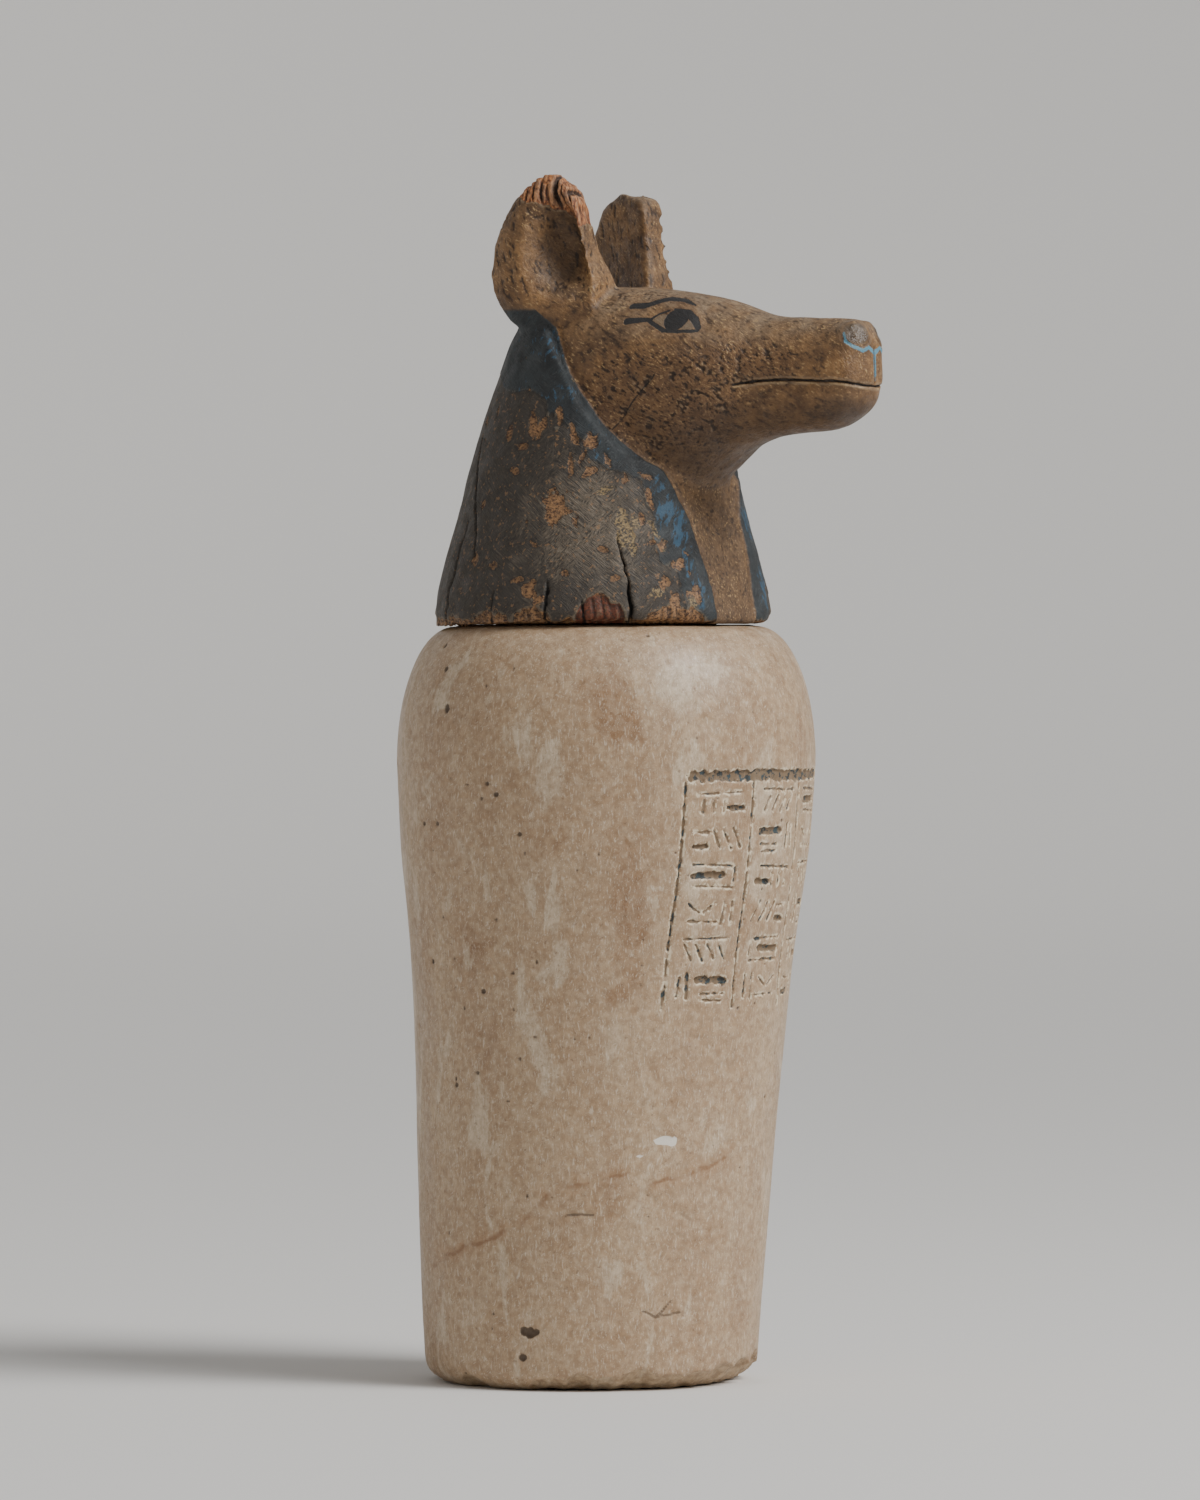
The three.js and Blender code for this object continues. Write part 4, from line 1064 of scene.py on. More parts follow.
def calcite_material(look):
    material, nodes, surface = new_material("Calcite", 0.5)
    speckle = group_named("Speckle", speckle_group)
    drift = group_named("Drifting colour", drift_group)
    grain = group_named("Grain", grain_group)
    plain = nodes.place()
    tall = nodes.place(stretch=(1, 1, 2.6))
    tint = nodes.kept("tint")
    stone = nodes.use(drift, vector=tall, size=30.0, darker=look.brown, lighter=look.stone, contrast=0.26)
    colour = nodes.mix(0.45, stone["Colour"], look.stone)
    browner = nodes.plus(nodes.noise(tall, 20.0, 6.0, 0.62), nodes.times(tint, 0.2))
    colour = nodes.mix(nodes.step(browner, 0.52, 0.78, 0.0, 0.8), colour, look.brown)
    cloud = nodes.plus(nodes.noise(tall, 13.0, 6.0, 0.6, 0.7), nodes.times(tint, -0.17))
    colour = nodes.mix(nodes.step(cloud, 0.56, 0.66, 0.0, 0.6), colour, look.pale)
    crystals = nodes.add("ShaderNodeTexVoronoi",
                         {"Vector": plain, "Scale": 1 / (3.0 * MM), "Randomness": 1.0})
    facet = nodes.add("ShaderNodeSeparateColor", {"Color": crystals.outputs["Color"]}).outputs[0]
    colour = nodes.mix(nodes.step(facet, 0.0, 1.0, 0.0, 0.2), colour, look.pale)
    mottled = nodes.use(drift, vector=plain, size=2.6, darker=(0.66, 0.58, 0.5), lighter=(1.06, 1.04, 1),
                        contrast=0.2)
    colour = nodes.mix(0.75, colour, mottled["Colour"], "MULTIPLY")
    scratches = nodes.use(grain, vector=plain, width=0.55, length=3.4, turn=(1.57, 0, 0), wander=1.6)["Value"]
    crossing = nodes.use(grain, vector=plain, width=0.5, length=2.0, turn=(0.8, 0.5, 0.3),
                         wander=1.0)["Value"]
    colour = nodes.mix(nodes.step(scratches, 0.56, 0.68, 0.0, 0.42), colour, look.hairs)
    colour = nodes.mix(nodes.step(crossing, 0.58, 0.7, 0.0, 0.4), colour, look.hairs)
    colour = nodes.mix(nodes.step(scratches, 0.32, 0.44, 0.4, 0.0), colour, look.brown)
    broken = nodes.step(nodes.noise(plain, 9.0, 4.0), 0.4, 0.6)
    vein = nodes.times(nodes.step(nodes.kept("vein"), 0.0, 1.1, 0.65, 0.0), broken)
    colour = nodes.mix(vein, colour, (0.17, 0.08, 0.035))
    stain = nodes.times(nodes.step(nodes.kept("vein"), 0.0, 6.0, 0.3, 0.0), broken)
    colour = nodes.mix(stain, colour, (0.33, 0.16, 0.06))
    specks = nodes.use(speckle, vector=plain, size=1.8, amount=0.2)["Mask"]
    colour = nodes.mix(nodes.times(specks, 0.5), colour, (0.17, 0.10, 0.055))
    fresh = nodes.kept("fresh")
    facets = nodes.use(drift, vector=plain, size=3.0, darker=(0.2, 0.13, 0.075), lighter=(0.6, 0.46, 0.3),
                       contrast=0.2)
    colour = nodes.mix(nodes.times(fresh, 0.5), colour, facets["Colour"])
    crack = nodes.step(nodes.kept("crack"), 0.0, 0.5, 0.7, 0.0)
    hollow = nodes.step(nodes.kept("hollow"), 0.08, 0.6, 0.0, 0.85)
    colour = nodes.mix(nodes.math("MAXIMUM", hollow, crack), colour, (0.07, 0.042, 0.024))
    near_cut = nodes.kept("near_cut")
    ring = nodes.times(nodes.step(near_cut, -0.2, 0.1), nodes.step(near_cut, 0.3, 1.0, 1.0, 0.0))
    creamy = nodes.use(speckle, vector=plain, size=2.2, amount=0.6)["Mask"]
    colour = nodes.mix(nodes.times(nodes.times(ring, creamy), 0.85), colour, look.lips)
    shade = nodes.step(nodes.kept("cut"), 0.12, 0.6)
    colour = nodes.mix(nodes.times(shade, 0.65), colour, (0.17, 0.115, 0.065))
    kept_paint = nodes.use(speckle, vector=plain, size=2.6, amount=0.55, softness=0.08)["Mask"]
    painted = nodes.times(nodes.step(nodes.kept("cut"), 0.25, 0.7), kept_paint)
    pigment = nodes.use(drift, vector=plain, size=2.5, darker=(0.014, 0.018, 0.02), lighter=look.pigment,
                        contrast=0.14)
    colour = nodes.mix(nodes.times(painted, 0.9), colour, pigment["Colour"])
    white = nodes.step(nodes.kept("white_chip"), -0.1, 0.12, 1.0, 0.0)
    colour = nodes.mix(nodes.times(white, 0.85), colour, (0.8, 0.76, 0.68))
    nodes.put(surface.inputs["Base Color"], colour)
    rough = nodes.step(nodes.noise(tall, 12.0, 3.0), 0.3, 0.7, 0.4, 0.56)
    rough = nodes.plus(rough, nodes.times(nodes.math("MAXIMUM", fresh, shade), 0.25))
    nodes.put(surface.inputs["Roughness"], rough)
    grain = nodes.plus(nodes.times(nodes.noise(plain, 0.7, 3.0), 0.5),
                       nodes.times(nodes.plus(scratches, crossing), 0.5))
    bump_node = nodes.add("ShaderNodeBump", {"Height": grain, "Strength": 0.5, "Distance": 0.14 * MM})
    nodes.put(surface.inputs["Normal"], bump_node.outputs["Normal"])
    surface.inputs["Subsurface Weight"].default_value = 0.12
    surface.inputs["Subsurface Radius"].default_value = (1.0, 0.7, 0.45)
    surface.inputs["Subsurface Scale"].default_value = 0.004
    return material


# Painted lines are measured with the side squeezed, so that they don't thin out where the wood dips
SIDE_SQUEEZE = 0.3
# The eye's lines on either side of the head: start, end (side, ahead, height), half widths
EYE_LINES = [
    ((25, 29.8, 117.2), (23.5, 35.2, 117.3), 1.15, 1.2),
    ((23.5, 35.2, 117.3), (20.5, 38.4, 118.6), 1.2, 1.05),
    ((20.5, 38.4, 118.6), (17.5, 42.2, 119.8), 1.05, 0.95),
    ((17.5, 42.2, 119.8), (16, 47.6, 119.2), 0.95, 0.75), ((16, 47.6, 119.2), (17, 52.7, 117.2), 0.75, 0.3),
    ((29, 30.6, 111.3), (27.5, 36.3, 111.9), 1.3, 0.95),
    ((27.5, 36.3, 111.9), (26.5, 39.3, 111.8), 0.95, 0.7),
    ((26.5, 38.9, 111.9), (24, 41.8, 114.1), 0.5, 0.35), ((24, 41.8, 114.1), (23, 44.8, 115.2), 0.35, 0.4),
    ((26.5, 38.9, 111.3), (27.5, 45.6, 107.7), 0.7, 0.8),
    ((27.5, 45.6, 107.7), (26.5, 51.3, 107.3), 0.8, 0.7),
    ((26.5, 51.3, 107.3), (24, 57.6, 107.6), 0.65, 0.65), ((22.5, 47, 115.6), (20.5, 51.8, 114.4), 0.7, 1.2),
    ((20.5, 51.8, 114.4), (21, 54.9, 111.9), 1.2, 1.25), ((21, 54.9, 111.9), (23, 57.5, 108.5), 1.25, 0.85),
]
PUPIL = (23, 48.6, 111.7)
PUPIL_RADIUS = 4.25
# The white of the eye lies inside these ovals: centre, half length, half height
EYE_WHITES = [((26, 43.2, 111.3), 4.2, 2.6), ((24, 53.6, 109.4), 2.4, 2.0)]
NOSE_LINES = [
    ((10.3, 113.2, 106.2), (11, 114.4, 102.9), 0.35, 0.5),
    ((11, 114.4, 102.9), (9.5, 116.6, 101.1), 0.5, 0.65),
    ((9.5, 116.6, 101.1), (6.3, 118.8, 99.7), 0.65, 0.75), ((6.3, 118.8, 99.7), (3.8, 119.6, 101), 0.75, 0.6),
    ((3.8, 119.6, 101), (0.6, 120, 99.2), 0.6, 0.8), ((0.3, 120.2, 99.2), (0.3, 120.4, 89), 0.6, 0.4),
]


def painted_lines(nodes, stroke, where, lines, squeeze=1.0):
    """Distance from the nearest of some painted lines."""
    nearest = None
    for start, end, first, second in lines:
        start, end = (start[0] * squeeze, *start[1:]), (end[0] * squeeze, *end[1:])
        away = nodes.use(stroke, vector=where, start=start, end=end, start_width=first,
                         end_width=second)["Distance"]
        nearest = away if nearest is None else nodes.math("MINIMUM", nearest, away)
    return nearest


def oval_distance(nodes, where, centre, wide, tall):
    """0 at the edge of a painted oval and negative inside it, from -1 at its centre."""
    out = nodes.vector("SUBTRACT", where, (centre[0] * SIDE_SQUEEZE, *centre[1:]))
    share = nodes.vector("DIVIDE", out, (wide * 1.5, wide, tall))
    return nodes.math("SUBTRACT", nodes.vector("LENGTH", share, (0, 0, 0)), 1.0)


def face_colours(nodes, look, plain, height, drift, grain):
    """Darkened ochre, rough on the cheeks and dusty above, with painted shade on the faces that turn down and on
    the low face and throat.
    """
    upward = nodes.kept("upward")
    cheek = nodes.kept("cheek")
    face = nodes.use(drift, vector=plain, size=14.0, darker=look.face_dark, lighter=look.face,
                     contrast=0.16)["Colour"]
    face = nodes.mix(nodes.times(cheek, 0.6), face, look.cheek)
    dust = nodes.times(nodes.step(upward, 0.1, 0.9),
                       nodes.step(nodes.noise(plain, 8.0, 4.0), 0.35, 0.65, 0.45, 1.0))
    face = nodes.mix(dust, face, look.crown)
    # Painted shade: faces that turn down are darkened.
    face = nodes.mix(nodes.step(upward, -0.8, 0.0, 0.7, 0.0), face, (0.05, 0.03, 0.018))
    # Painted shade: below 80 mm the face darkens towards the throat colour, most on the throat.
    face = nodes.mix(nodes.step(height, 45.0, 80.0, 0.6, 0.0), face, look.throat)
    tone = nodes.use(drift, vector=plain, size=3.4, darker=(0.6, 0.52, 0.46), lighter=(1.25, 1.2, 1.12),
                     contrast=0.2)
    face = nodes.mix(0.7, face, tone["Colour"], "MULTIPLY")
    streaks = nodes.use(grain, vector=plain, width=0.75, length=2.2, turn=(-0.55, 0, 0), wander=1.0)["Value"]
    strength = nodes.step(cheek, 0.0, 0.8, 0.4, 0.95)
    dark = nodes.times(nodes.step(streaks, 0.36, 0.47, 1.0, 0.0), strength)
    face = nodes.mix(nodes.times(dark, 0.85), face, (0.035, 0.018, 0.009))
    light = nodes.times(nodes.step(streaks, 0.56, 0.66),
                        nodes.step(nodes.noise(plain, 6.0, 3.0), 0.4, 0.6, 0.2, 0.7))
    # The lighter grains are real; taking them off the faces that turn down is painted shade.
    light = nodes.times(light, nodes.step(upward, -0.5, 0.0, 0.15, 1.0))
    face = nodes.mix(light, face, look.face_gold)
    return face, streaks


def wig_colours(nodes, look, plain, flat, drift, grain, speckle):
    """Slate paint with fresher blue in it, worn to brushed grey-brown behind the whole band along the edge."""
    one_way = nodes.use(grain, vector=flat, width=0.45, length=3.6, turn=(0, 0, 0.75), wander=0.9)["Value"]
    other_way = nodes.use(grain, vector=flat, width=0.45, length=2.8, turn=(0, 0, -0.9), wander=1.2)["Value"]
    which = nodes.step(nodes.noise(plain, 16.0, 3.0), 0.44, 0.56)
    crossed = nodes.add("ShaderNodeMix", {0: which, 2: one_way, 3: other_way}, data_type="FLOAT").outputs[0]
    paint = nodes.use(drift, vector=plain, size=9.0, darker=look.wig_dark, lighter=look.wig_slate,
                      contrast=0.16)["Colour"]
    paint = nodes.mix(nodes.step(crossed, 0.36, 0.5, 0.5, 0.0), paint, (0.012, 0.014, 0.016))
    paint = nodes.mix(nodes.step(crossed, 0.56, 0.7, 0.0, 0.35), paint, (0.10, 0.105, 0.10))
    blue_grain = nodes.use(grain, vector=flat, width=1.3, length=4.0, turn=(0, 0, -0.45), wander=1.5)["Value"]
    blue = nodes.plus(nodes.times(nodes.kept("blue"), 0.26), blue_grain)
    paint = nodes.mix(nodes.step(blue, 0.62, 0.76, 0.0, 0.9), paint, look.bright_blue)
    mottled = nodes.use(drift, vector=plain, size=9.0, contrast=0.2)["Value"]
    rubbed = nodes.step(nodes.plus(nodes.kept("rubbed"), nodes.times(mottled, 0.5)), 0.35, 1.15)
    wood = nodes.mix(rubbed, look.worn_dark, look.worn_wood)
    wood = nodes.mix(nodes.step(crossed, 0.38, 0.52, 0.85, 0.0), wood, (0.028, 0.024, 0.02))
    light = nodes.times(nodes.step(crossed, 0.54, 0.68), nodes.plus(nodes.times(rubbed, 0.6), 0.15))
    wood = nodes.mix(light, wood, look.worn_light)
    tan = nodes.use(speckle, vector=plain, size=1.6, amount=0.3)["Mask"]
    wood = nodes.mix(nodes.times(tan, 0.5), wood, look.bare_wood)
    jitter = nodes.times(nodes.math("SUBTRACT", nodes.noise(plain, 1.6, 4.0, 0.65), 0.5), 2.4)
    worn = nodes.plus(nodes.kept("worn"), jitter)
    wig = nodes.mix(nodes.step(worn, -0.2, 0.35), paint, wood)
    # Painted shadow: a dark line along the edge of the worn-off paint.
    rim = nodes.step(nodes.math("ABSOLUTE", nodes.plus(worn, 0.1)), 0.1, 0.5, 0.6, 0.0)
    return nodes.mix(rim, wig, (0.01, 0.011, 0.012)), crossed


def painted_wood_material(look):
    material, nodes, surface = new_material("Painted wood", 0.6)
    speckle = group_named("Speckle", speckle_group)
    drift = group_named("Drifting colour", drift_group)
    stroke = group_named("Painted stroke", stroke_group)
    grain = group_named("Grain", grain_group)
    dirt = group_named("Settled dirt", hollow_shade_and_wear_group)
    plain = nodes.place()
    parts = nodes.add("ShaderNodeSeparateXYZ", {"Vector": plain}).outputs
    near = nodes.times(nodes.math("ABSOLUTE", parts["X"]), 1 / MM)
    ahead = nodes.math("SUBTRACT", nodes.times(parts["Y"], -1 / MM), LID_AHEAD)
    height = nodes.math("SUBTRACT", nodes.times(parts["Z"], 1 / MM), RIM + LID_GAP)
    wobble = nodes.times(nodes.math("SUBTRACT", nodes.noise(plain, 1.6, 3.0), 0.5), 0.5)
    ahead_line = nodes.plus(ahead, wobble)
    height_line = nodes.math("SUBTRACT", height, wobble)
    head = nodes.add("ShaderNodeCombineXYZ", {"X": near, "Y": ahead_line, "Z": height_line}).outputs[0]
    squeezed = nodes.add("ShaderNodeCombineXYZ", {"X": nodes.times(near, SIDE_SQUEEZE), "Y": ahead_line,
                                                  "Z": height_line}).outputs[0]
    flat = nodes.add("ShaderNodeCombineXYZ", {"X": nodes.times(nodes.kept("girth"), MM), "Y": parts["Z"],
                                              "Z": 0.0}).outputs[0]

    face, streaks = face_colours(nodes, look, plain, height, drift, grain)
    wig, brush = wig_colours(nodes, look, plain, flat, drift, grain, speckle)
    behind = nodes.plus(nodes.kept("behind"), wobble)
    on_wig = nodes.times(nodes.step(behind, -0.25, 0.25), nodes.step(nodes.kept("ear"), 0.1, 0.4, 1.0, 0.0))
    colour = nodes.mix(on_wig, face, wig)

    # Bare and broken wood
    fibre = nodes.use(grain, vector=plain, width=0.7, length=5.0, turn=(1.57, 0, 0), wander=0.6)["Value"]
    crumbly = nodes.use(grain, vector=plain, width=0.8, length=1.4, wander=1.0)["Value"]
    ragged = nodes.times(nodes.math("SUBTRACT", nodes.noise(plain, 0.9, 3.0, 0.65), 0.5), 1.6)
    ochre_edge = nodes.plus(nodes.kept("ochre"), ragged)
    ochre = nodes.mix(nodes.step(crumbly, 0.4, 0.6), look.worn_dark, look.ochre)
    colour = nodes.mix(nodes.times(nodes.step(ochre_edge, -0.15, 0.2, 0.85, 0.0), on_wig), colour, ochre)
    bare_edge = nodes.plus(nodes.kept("bare"), ragged)
    deep = nodes.mix(nodes.kept("red"), look.bare_wood, look.red_wood)
    bare = nodes.mix(nodes.step(crumbly, 0.36, 0.56), (0.05, 0.02, 0.01), deep)
    bare = nodes.mix(nodes.step(fibre, 0.35, 0.5, 0.5, 0.0), bare, (0.03, 0.012, 0.007))
    # Painted shadow: a dark line round the edge of the flaked spots.
    rim = nodes.step(nodes.math("ABSOLUTE", nodes.math("SUBTRACT", bare_edge, 0.2)), 0.1, 0.45, 0.55, 0.0)
    colour = nodes.mix(nodes.times(rim, on_wig), colour, (0.01, 0.009, 0.008))
    colour = nodes.mix(nodes.times(nodes.step(bare_edge, -0.15, 0.15, 0.95, 0.0), on_wig), colour, bare)
    raw = nodes.mix(nodes.step(fibre, 0.36, 0.62), look.raw_dark, look.raw_wood)
    raw = nodes.mix(nodes.step(fibre, 0.6, 0.75, 0.0, 0.6), raw, look.raw_light)
    colour = nodes.mix(nodes.step(nodes.kept("raw"), 0.35, 0.65), colour, raw)
    # Painted shade deep in the ear's hollow.
    colour = nodes.mix(nodes.times(nodes.kept("hollow"), 0.6), colour, (0.045, 0.024, 0.012))
    dark_holes = nodes.math("MAXIMUM", nodes.times(nodes.kept("holes"), 0.75),
                            nodes.step(nodes.kept("groove"), 0.2, 0.9, 0.0, 0.85))
    colour = nodes.mix(dark_holes, colour, (0.025, 0.012, 0.007))

    # Painted eye, brow and nose lines
    flaking = nodes.times(nodes.math("SUBTRACT", nodes.noise(plain, 1.0, 4.0, 0.7), 0.5), 0.5)
    whites = [oval_distance(nodes, squeezed, *oval) for oval in EYE_WHITES]
    colour = nodes.mix(nodes.step(nodes.math("MINIMUM", *whites), -0.15, 0.1, 0.75, 0.0), colour,
                       look.eye_white)
    black = painted_lines(nodes, stroke, squeezed, EYE_LINES, SIDE_SQUEEZE)
    pupil = nodes.vector("SUBTRACT", squeezed, (PUPIL[0] * SIDE_SQUEEZE, *PUPIL[1:]))
    disc = nodes.math("SUBTRACT", nodes.vector("LENGTH", pupil, (0, 0, 0)), PUPIL_RADIUS)
    black = nodes.plus(nodes.math("MINIMUM", black, disc), flaking)
    colour = nodes.mix(nodes.step(black, 0.1, 1.6, 0.3, 0.0), colour, (0.10, 0.045, 0.02))
    colour = nodes.mix(nodes.step(black, -0.12, 0.12, 0.97, 0.0), colour, look.eye_black)
    line = painted_lines(nodes, stroke, head, NOSE_LINES)
    line = nodes.plus(line, nodes.times(flaking, 1.5))
    colour = nodes.mix(nodes.step(line, -0.1, 0.25, 0.92, 0.0), colour, look.nose_blue)

    # Nose, mouth and splits
    pad = nodes.step(nodes.kept("nose"), -1.2, 0.3, 1.0, 0.0)
    leather = nodes.use(drift, vector=plain, size=2.4, darker=(0.03, 0.023, 0.017),
                        lighter=(0.12, 0.092, 0.066), contrast=0.14)
    colour = nodes.mix(nodes.times(pad, 0.75), colour, leather["Colour"])
    mouth = nodes.kept("mouth")
    lip = nodes.times(nodes.step(mouth, -1.5, -0.9), nodes.step(mouth, -0.8, -0.4, 1.0, 0.0))
    lip = nodes.times(lip, nodes.step(nodes.noise(plain, 5.0, 4.0), 0.42, 0.58))
    colour = nodes.mix(nodes.times(lip, 0.55), colour, look.face_gold)
    gap = nodes.step(nodes.math("ABSOLUTE", mouth), 0.2, 0.55, 0.9, 0.0)
    colour = nodes.mix(gap, colour, (0.016, 0.01, 0.007))
    split = nodes.step(nodes.kept("split"), 0.0, 0.35, 0.95, 0.0)
    colour = nodes.mix(split, colour, (0.006, 0.005, 0.005))

    # Painted shade darkens the carved hollows; wear lightens what stands proud.
    colour = nodes.use(dirt, colour=colour, relief=nodes.kept("fine"), dirt=(0.018, 0.012, 0.008),
                       wear=(0.36, 0.27, 0.17), depth=0.16, strength=0.5)["Colour"]
    nodes.put(surface.inputs["Base Color"], colour)
    rough = nodes.step(nodes.noise(plain, 5.0, 4.0), 0.3, 0.7, 0.46, 0.68)
    rough = nodes.plus(rough, nodes.times(nodes.math("MAXIMUM", on_wig, nodes.kept("raw")), 0.08))
    muzzle = nodes.times(nodes.step(ahead, 100.0, 112.0), nodes.step(nodes.noise(plain, 4.0, 3.0), 0.4, 0.6))
    shiny = nodes.math("MAXIMUM", pad, nodes.times(muzzle, 0.6))
    rough = nodes.math("SUBTRACT", rough, nodes.times(shiny, 0.26))
    nodes.put(surface.inputs["Roughness"], rough)
    threads = nodes.add("ShaderNodeMix", {0: on_wig, 2: streaks, 3: brush}, data_type="FLOAT").outputs[0]
    threads = nodes.times(threads, nodes.step(nodes.math("MINIMUM", black, 1.0), -0.1, 0.1, 0.4, 1.0))
    fine = nodes.plus(nodes.times(nodes.noise(plain, 0.8, 3.0, 0.6), 0.4), threads)
    bump_node = nodes.add("ShaderNodeBump", {"Height": fine, "Strength": 0.8, "Distance": 0.5 * MM})
    nodes.put(surface.inputs["Normal"], bump_node.outputs["Normal"])
    return material


# ---- Settings ----

def colour_setting(name, description, default):
    return bpy.props.FloatVectorProperty(name=name, description=description, default=default, subtype="COLOR",
                                         size=3, min=0, max=1)


class JarLook(bpy.types.PropertyGroup):
    """Colours and size of the jar"""

    stone: colour_setting("Stone", "Colour of the calcite", (0.50, 0.365, 0.235))
    pale: colour_setting("Pale clouds", "Colour of the milky clouds in the stone", (0.66, 0.56, 0.43))
    hairs: colour_setting("Hairs", "Colour of the fine pale scratches in the stone", (0.80, 0.71, 0.58))
    lips: colour_setting("Cut edges", "Colour of the crumbled edges of the cuts", (0.80, 0.68, 0.49))
    brown: colour_setting("Brown bands", "Colour of the brown bands and stains", (0.30, 0.175, 0.092))
    pigment: colour_setting("Pigment", "Colour of the paint left in the cuts", (0.025, 0.065, 0.085))
    most_triangles: bpy.props.IntProperty(name="Most triangles", description="The finished jar has no more",
                                          default=194000, min=1000)


class LidLook(bpy.types.PropertyGroup):
    """Colours and size of the lid"""

    face: colour_setting("Face", "Colour of the ochre on the face", (0.27, 0.15, 0.062))
    face_dark: colour_setting("Face, dark", "Colour of the darkened ochre", (0.125, 0.068, 0.031))
    face_gold: colour_setting("Face, gold", "Colour of the rubbed grains on the face", (0.52, 0.34, 0.155))
    cheek: colour_setting("Cheek", "Colour of the rough cheek", (0.135, 0.07, 0.032))
    # Painted shade: the colour that darkens the low face and the throat.
    throat: colour_setting("Throat", "Colour of the bare throat", (0.125, 0.078, 0.044))
    crown: colour_setting("Crown", "Colour of the dusty upper side", (0.235, 0.17, 0.11))
    wig_dark: colour_setting("Wig, dark", "Colour of the darkest paint on the wig", (0.018, 0.020, 0.021))
    wig_slate: colour_setting("Wig, slate", "Colour of the lighter paint on the wig", (0.034, 0.041, 0.044))
    bright_blue: colour_setting("Bright blue", "Colour of the least faded blue", (0.034, 0.088, 0.145))
    worn_wood: colour_setting("Worn wood", "Colour of the wig where the paint is worn off",
                              (0.125, 0.098, 0.070))
    worn_dark: colour_setting("Worn wood, dark", "Colour of the darker worn wood", (0.048, 0.038, 0.029))
    worn_light: colour_setting("Worn wood, light", "Colour of the rubbed grain of the worn wood",
                               (0.23, 0.19, 0.14))
    bare_wood: colour_setting("Bare wood", "Colour of the wood in flaked spots", (0.33, 0.175, 0.075))
    ochre: colour_setting("Ochre ground", "Colour of the yellow ground in flaked spots", (0.33, 0.23, 0.105))
    red_wood: colour_setting("Red wood", "Colour of the dark red break in the lower edge",
                             (0.15, 0.035, 0.012))
    raw_wood: colour_setting("Raw wood", "Colour of the broken ear tip", (0.52, 0.21, 0.075))
    raw_dark: colour_setting("Raw wood, dark", "Colour of the broken tip's deeper grain", (0.14, 0.04, 0.015))
    raw_light: colour_setting("Raw wood, light", "Colour of the broken tip's raised grain",
                              (0.80, 0.48, 0.24))
    eye_black: colour_setting("Eye black", "Colour of the painted eye lines", (0.016, 0.016, 0.017))
    eye_white: colour_setting("Eye white", "Colour of the painted white of the eye", (0.19, 0.145, 0.095))
    nose_blue: colour_setting("Nose blue", "Colour of the line round the nose", (0.10, 0.29, 0.40))
    most_triangles: bpy.props.IntProperty(name="Most triangles", description="The finished lid has no more",
                                          default=196000, min=1000)


class StageLook(bpy.types.PropertyGroup):
    """Floor, lights and camera"""

    floor: colour_setting("Floor", "Colour of the floor and backdrop", (0.80, 0.785, 0.76))
    broad: bpy.props.FloatProperty(name="Broad light", description="Strength of the soft light from afar",
                                   default=1.5,
                                   min=0)
    softness: bpy.props.FloatProperty(name="Softness", description="How wide the broad light looks",
                                      subtype="ANGLE",
                                      default=math.radians(25), unit="ROTATION")
    key_power: bpy.props.FloatProperty(name="Key light", description="Power of the large soft light",
                                       default=26,
                                       min=0, unit="POWER")
    fill: bpy.props.FloatProperty(name="Fill", description="Brightness of the light from all round",
                                  default=0.32, min=0)
    azimuth: bpy.props.FloatProperty(name="Camera azimuth",
                                     description="Side the camera looks from; 0 looks along +Y",
                                     default=math.radians(-56), subtype="ANGLE", unit="ROTATION")
    distance: bpy.props.FloatProperty(name="Camera distance", description="From the jar's axis", default=3.5,
                                      min=0.5, unit="LENGTH")
    eye_level: bpy.props.FloatProperty(name="Eye level", description="Height of the camera", default=0.278,
                                       min=0, unit="LENGTH")
    lens: bpy.props.FloatProperty(name="Lens", description="Focal length in millimetres", default=225, min=10)


# ---- Stage ----

# From the camera's side: right, near, up, in metres
SUN_PLACE = (2.2, 1.5, 3.0)
KEY_PLACE = (1.5, 0.7, 1.6)
AIM_PLACE = (0.0032, 0, 0.2352)


def backdrop(look):
    """A pale floor that curves up into a wall all round, far from the object."""
    corner = [(5.5 + 2.5 * math.sin(a), 2.5 - 2.5 * math.cos(a)) for a in np.linspace(0, math.pi / 2, 12)]
    profile = [(2, 0), (4.5, 0), *corner, (8.2, 4)]
    hub = 0.2
    bpy.ops.object.select_all(action="DESELECT")
    bpy.ops.mesh.primitive_circle_add(vertices=96, radius=hub, fill_type="NGON")
    floor = bpy.context.active_object
    floor.name = "floor"
    bpy.ops.object.mode_set(mode="EDIT")
    bpy.ops.mesh.select_mode(type="EDGE")
    bpy.ops.mesh.select_all(action="SELECT")
    last_radius, last_height = hub, 0.0
    for radius, height in profile:
        bpy.ops.mesh.extrude_edges_move(TRANSFORM_OT_translate={"value": (0, 0, height - last_height)})
        bpy.ops.transform.resize(value=(radius / last_radius, radius / last_radius, 1))
        last_radius, last_height = radius, height
    bpy.ops.mesh.select_mode(type="VERT")
    bpy.ops.object.mode_set(mode="OBJECT")
    floor.data.shade_smooth()
    material, nodes, surface = new_material("Pale floor", 0.85)
    surface.inputs["Base Color"].default_value = (*look.floor, 1)
    floor.data.materials.append(material)


def aim(obj, place, target):
    obj.location = place
    obj.rotation_euler = (Vector(target) - Vector(place)).to_track_quat("-Z", "Y").to_euler()


def around_camera(look, right, near, up):
    """A place given from the camera's side: to its right, towards it, and up."""
    a = look.azimuth
    return Vector((math.cos(a) * right + math.sin(a) * near, math.sin(a) * right - math.cos(a) * near, up))


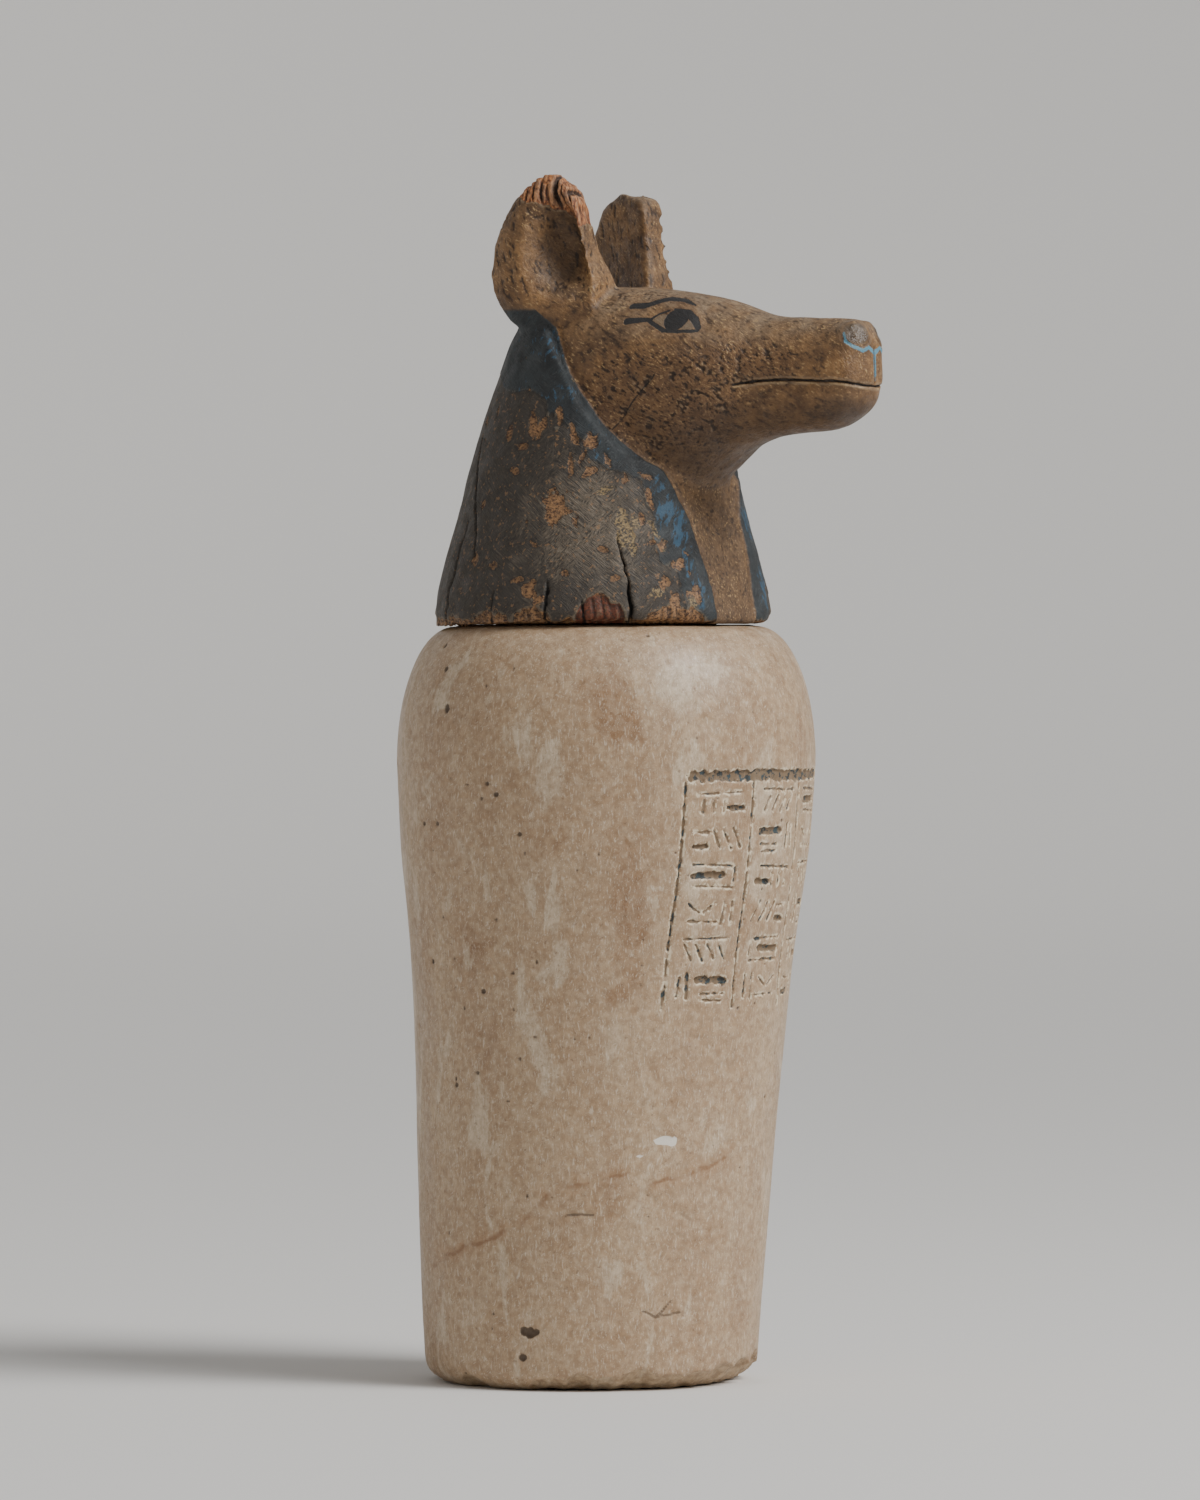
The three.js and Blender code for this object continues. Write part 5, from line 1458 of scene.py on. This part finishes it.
def lights(look):
    middle = (CAD_BOX[0] + CAD_BOX[1]) / 2
    bpy.ops.object.light_add(type="SUN")
    sun = bpy.context.active_object
    sun.name = "broad light"
    sun.data.angle = look.softness
    sun.data.energy = look.broad
    aim(sun, around_camera(look, *SUN_PLACE), middle)
    bpy.ops.object.light_add(type="AREA")
    key = bpy.context.active_object
    key.name = "key light"
    key.data.size = 0.9
    key.data.energy = look.key_power
    aim(key, around_camera(look, *KEY_PLACE), middle)
    world = bpy.data.worlds.new("Soft surround")
    world.use_nodes = True
    sky = world.node_tree.nodes["Background"]
    sky.inputs["Color"].default_value = (1, 1, 1, 1)
    sky.inputs["Strength"].default_value = look.fill
    bpy.context.scene.world = world


def camera(look):
    bpy.ops.object.camera_add()
    obj = bpy.context.active_object
    obj.name = "camera"
    obj.data.lens = look.lens
    obj.data.sensor_width = 36
    aim(obj, around_camera(look, 0, look.distance, look.eye_level), around_camera(look, *AIM_PLACE))
    obj.data.clip_start = 0.1
    obj.data.clip_end = 60
    bpy.context.scene.camera = obj


# ---- Operators ----

class CANOPIC_OT_jar(bpy.types.Operator):
    """Turns the calcite jar and carves its wear and its inscribed panel"""

    bl_idname = "canopic.jar"
    bl_label = "Calcite jar"

    def execute(self, context):
        look = context.scene.canopic_jar
        obj = spin_profile("calcite_jar", jar_profile(), 60)
        refine_panel(obj)
        shape_jar(obj)
        thin_out(obj, look.most_triangles)
        finish_piece(obj, ["jar"], calcite_material(look))
        return {"FINISHED"}


class CANOPIC_OT_lid(bpy.types.Operator):
    """Carves the jackal-head lid out of its plain solid and paints it"""

    bl_idname = "canopic.lid"
    bl_label = "Jackal-head lid"

    def execute(self, context):
        look = context.scene.canopic_lid
        obj = plain_lid()
        smooth_lid(obj)
        carve_lid(obj)
        thin_out(obj, look.most_triangles)
        finish_piece(obj, ["lid"], painted_wood_material(look))
        return {"FINISHED"}


class CANOPIC_OT_stage(bpy.types.Operator):
    """Sets up the pale floor and backdrop, the soft light and the camera"""

    bl_idname = "canopic.stage"
    bl_label = "Stage"

    def execute(self, context):
        look = context.scene.canopic_stage
        backdrop(look)
        lights(look)
        camera(look)
        return {"FINISHED"}


class CANOPIC_PT_panel(bpy.types.Panel):
    """Lists the steps that make the canopic jar"""

    bl_idname = "CANOPIC_PT_panel"
    bl_label = "Canopic jar"
    bl_space_type = "VIEW_3D"
    bl_region_type = "UI"
    bl_category = "Canopic jar"

    def draw(self, context):
        scene = context.scene
        for step, look in ((CANOPIC_OT_jar, scene.canopic_jar), (CANOPIC_OT_lid, scene.canopic_lid),
                           (CANOPIC_OT_stage, scene.canopic_stage)):
            box = self.layout.box()
            box.operator(step.bl_idname)
            for key in look.__annotations__:
                box.prop(look, key)


CLASSES = (JarLook, LidLook, StageLook, CANOPIC_OT_jar, CANOPIC_OT_lid, CANOPIC_OT_stage, CANOPIC_PT_panel)


def register():
    for one in CLASSES:
        bpy.utils.register_class(one)
    bpy.types.Scene.canopic_jar = bpy.props.PointerProperty(type=JarLook)
    bpy.types.Scene.canopic_lid = bpy.props.PointerProperty(type=LidLook)
    bpy.types.Scene.canopic_stage = bpy.props.PointerProperty(type=StageLook)


def unregister():
    del bpy.types.Scene.canopic_stage
    del bpy.types.Scene.canopic_lid
    del bpy.types.Scene.canopic_jar
    for one in reversed(CLASSES):
        bpy.utils.unregister_class(one)


def main():
    register()
    bpy.ops.canopic.stage()
    bpy.ops.canopic.jar()
    bpy.ops.canopic.lid()


if __name__ == "__main__":
    main()
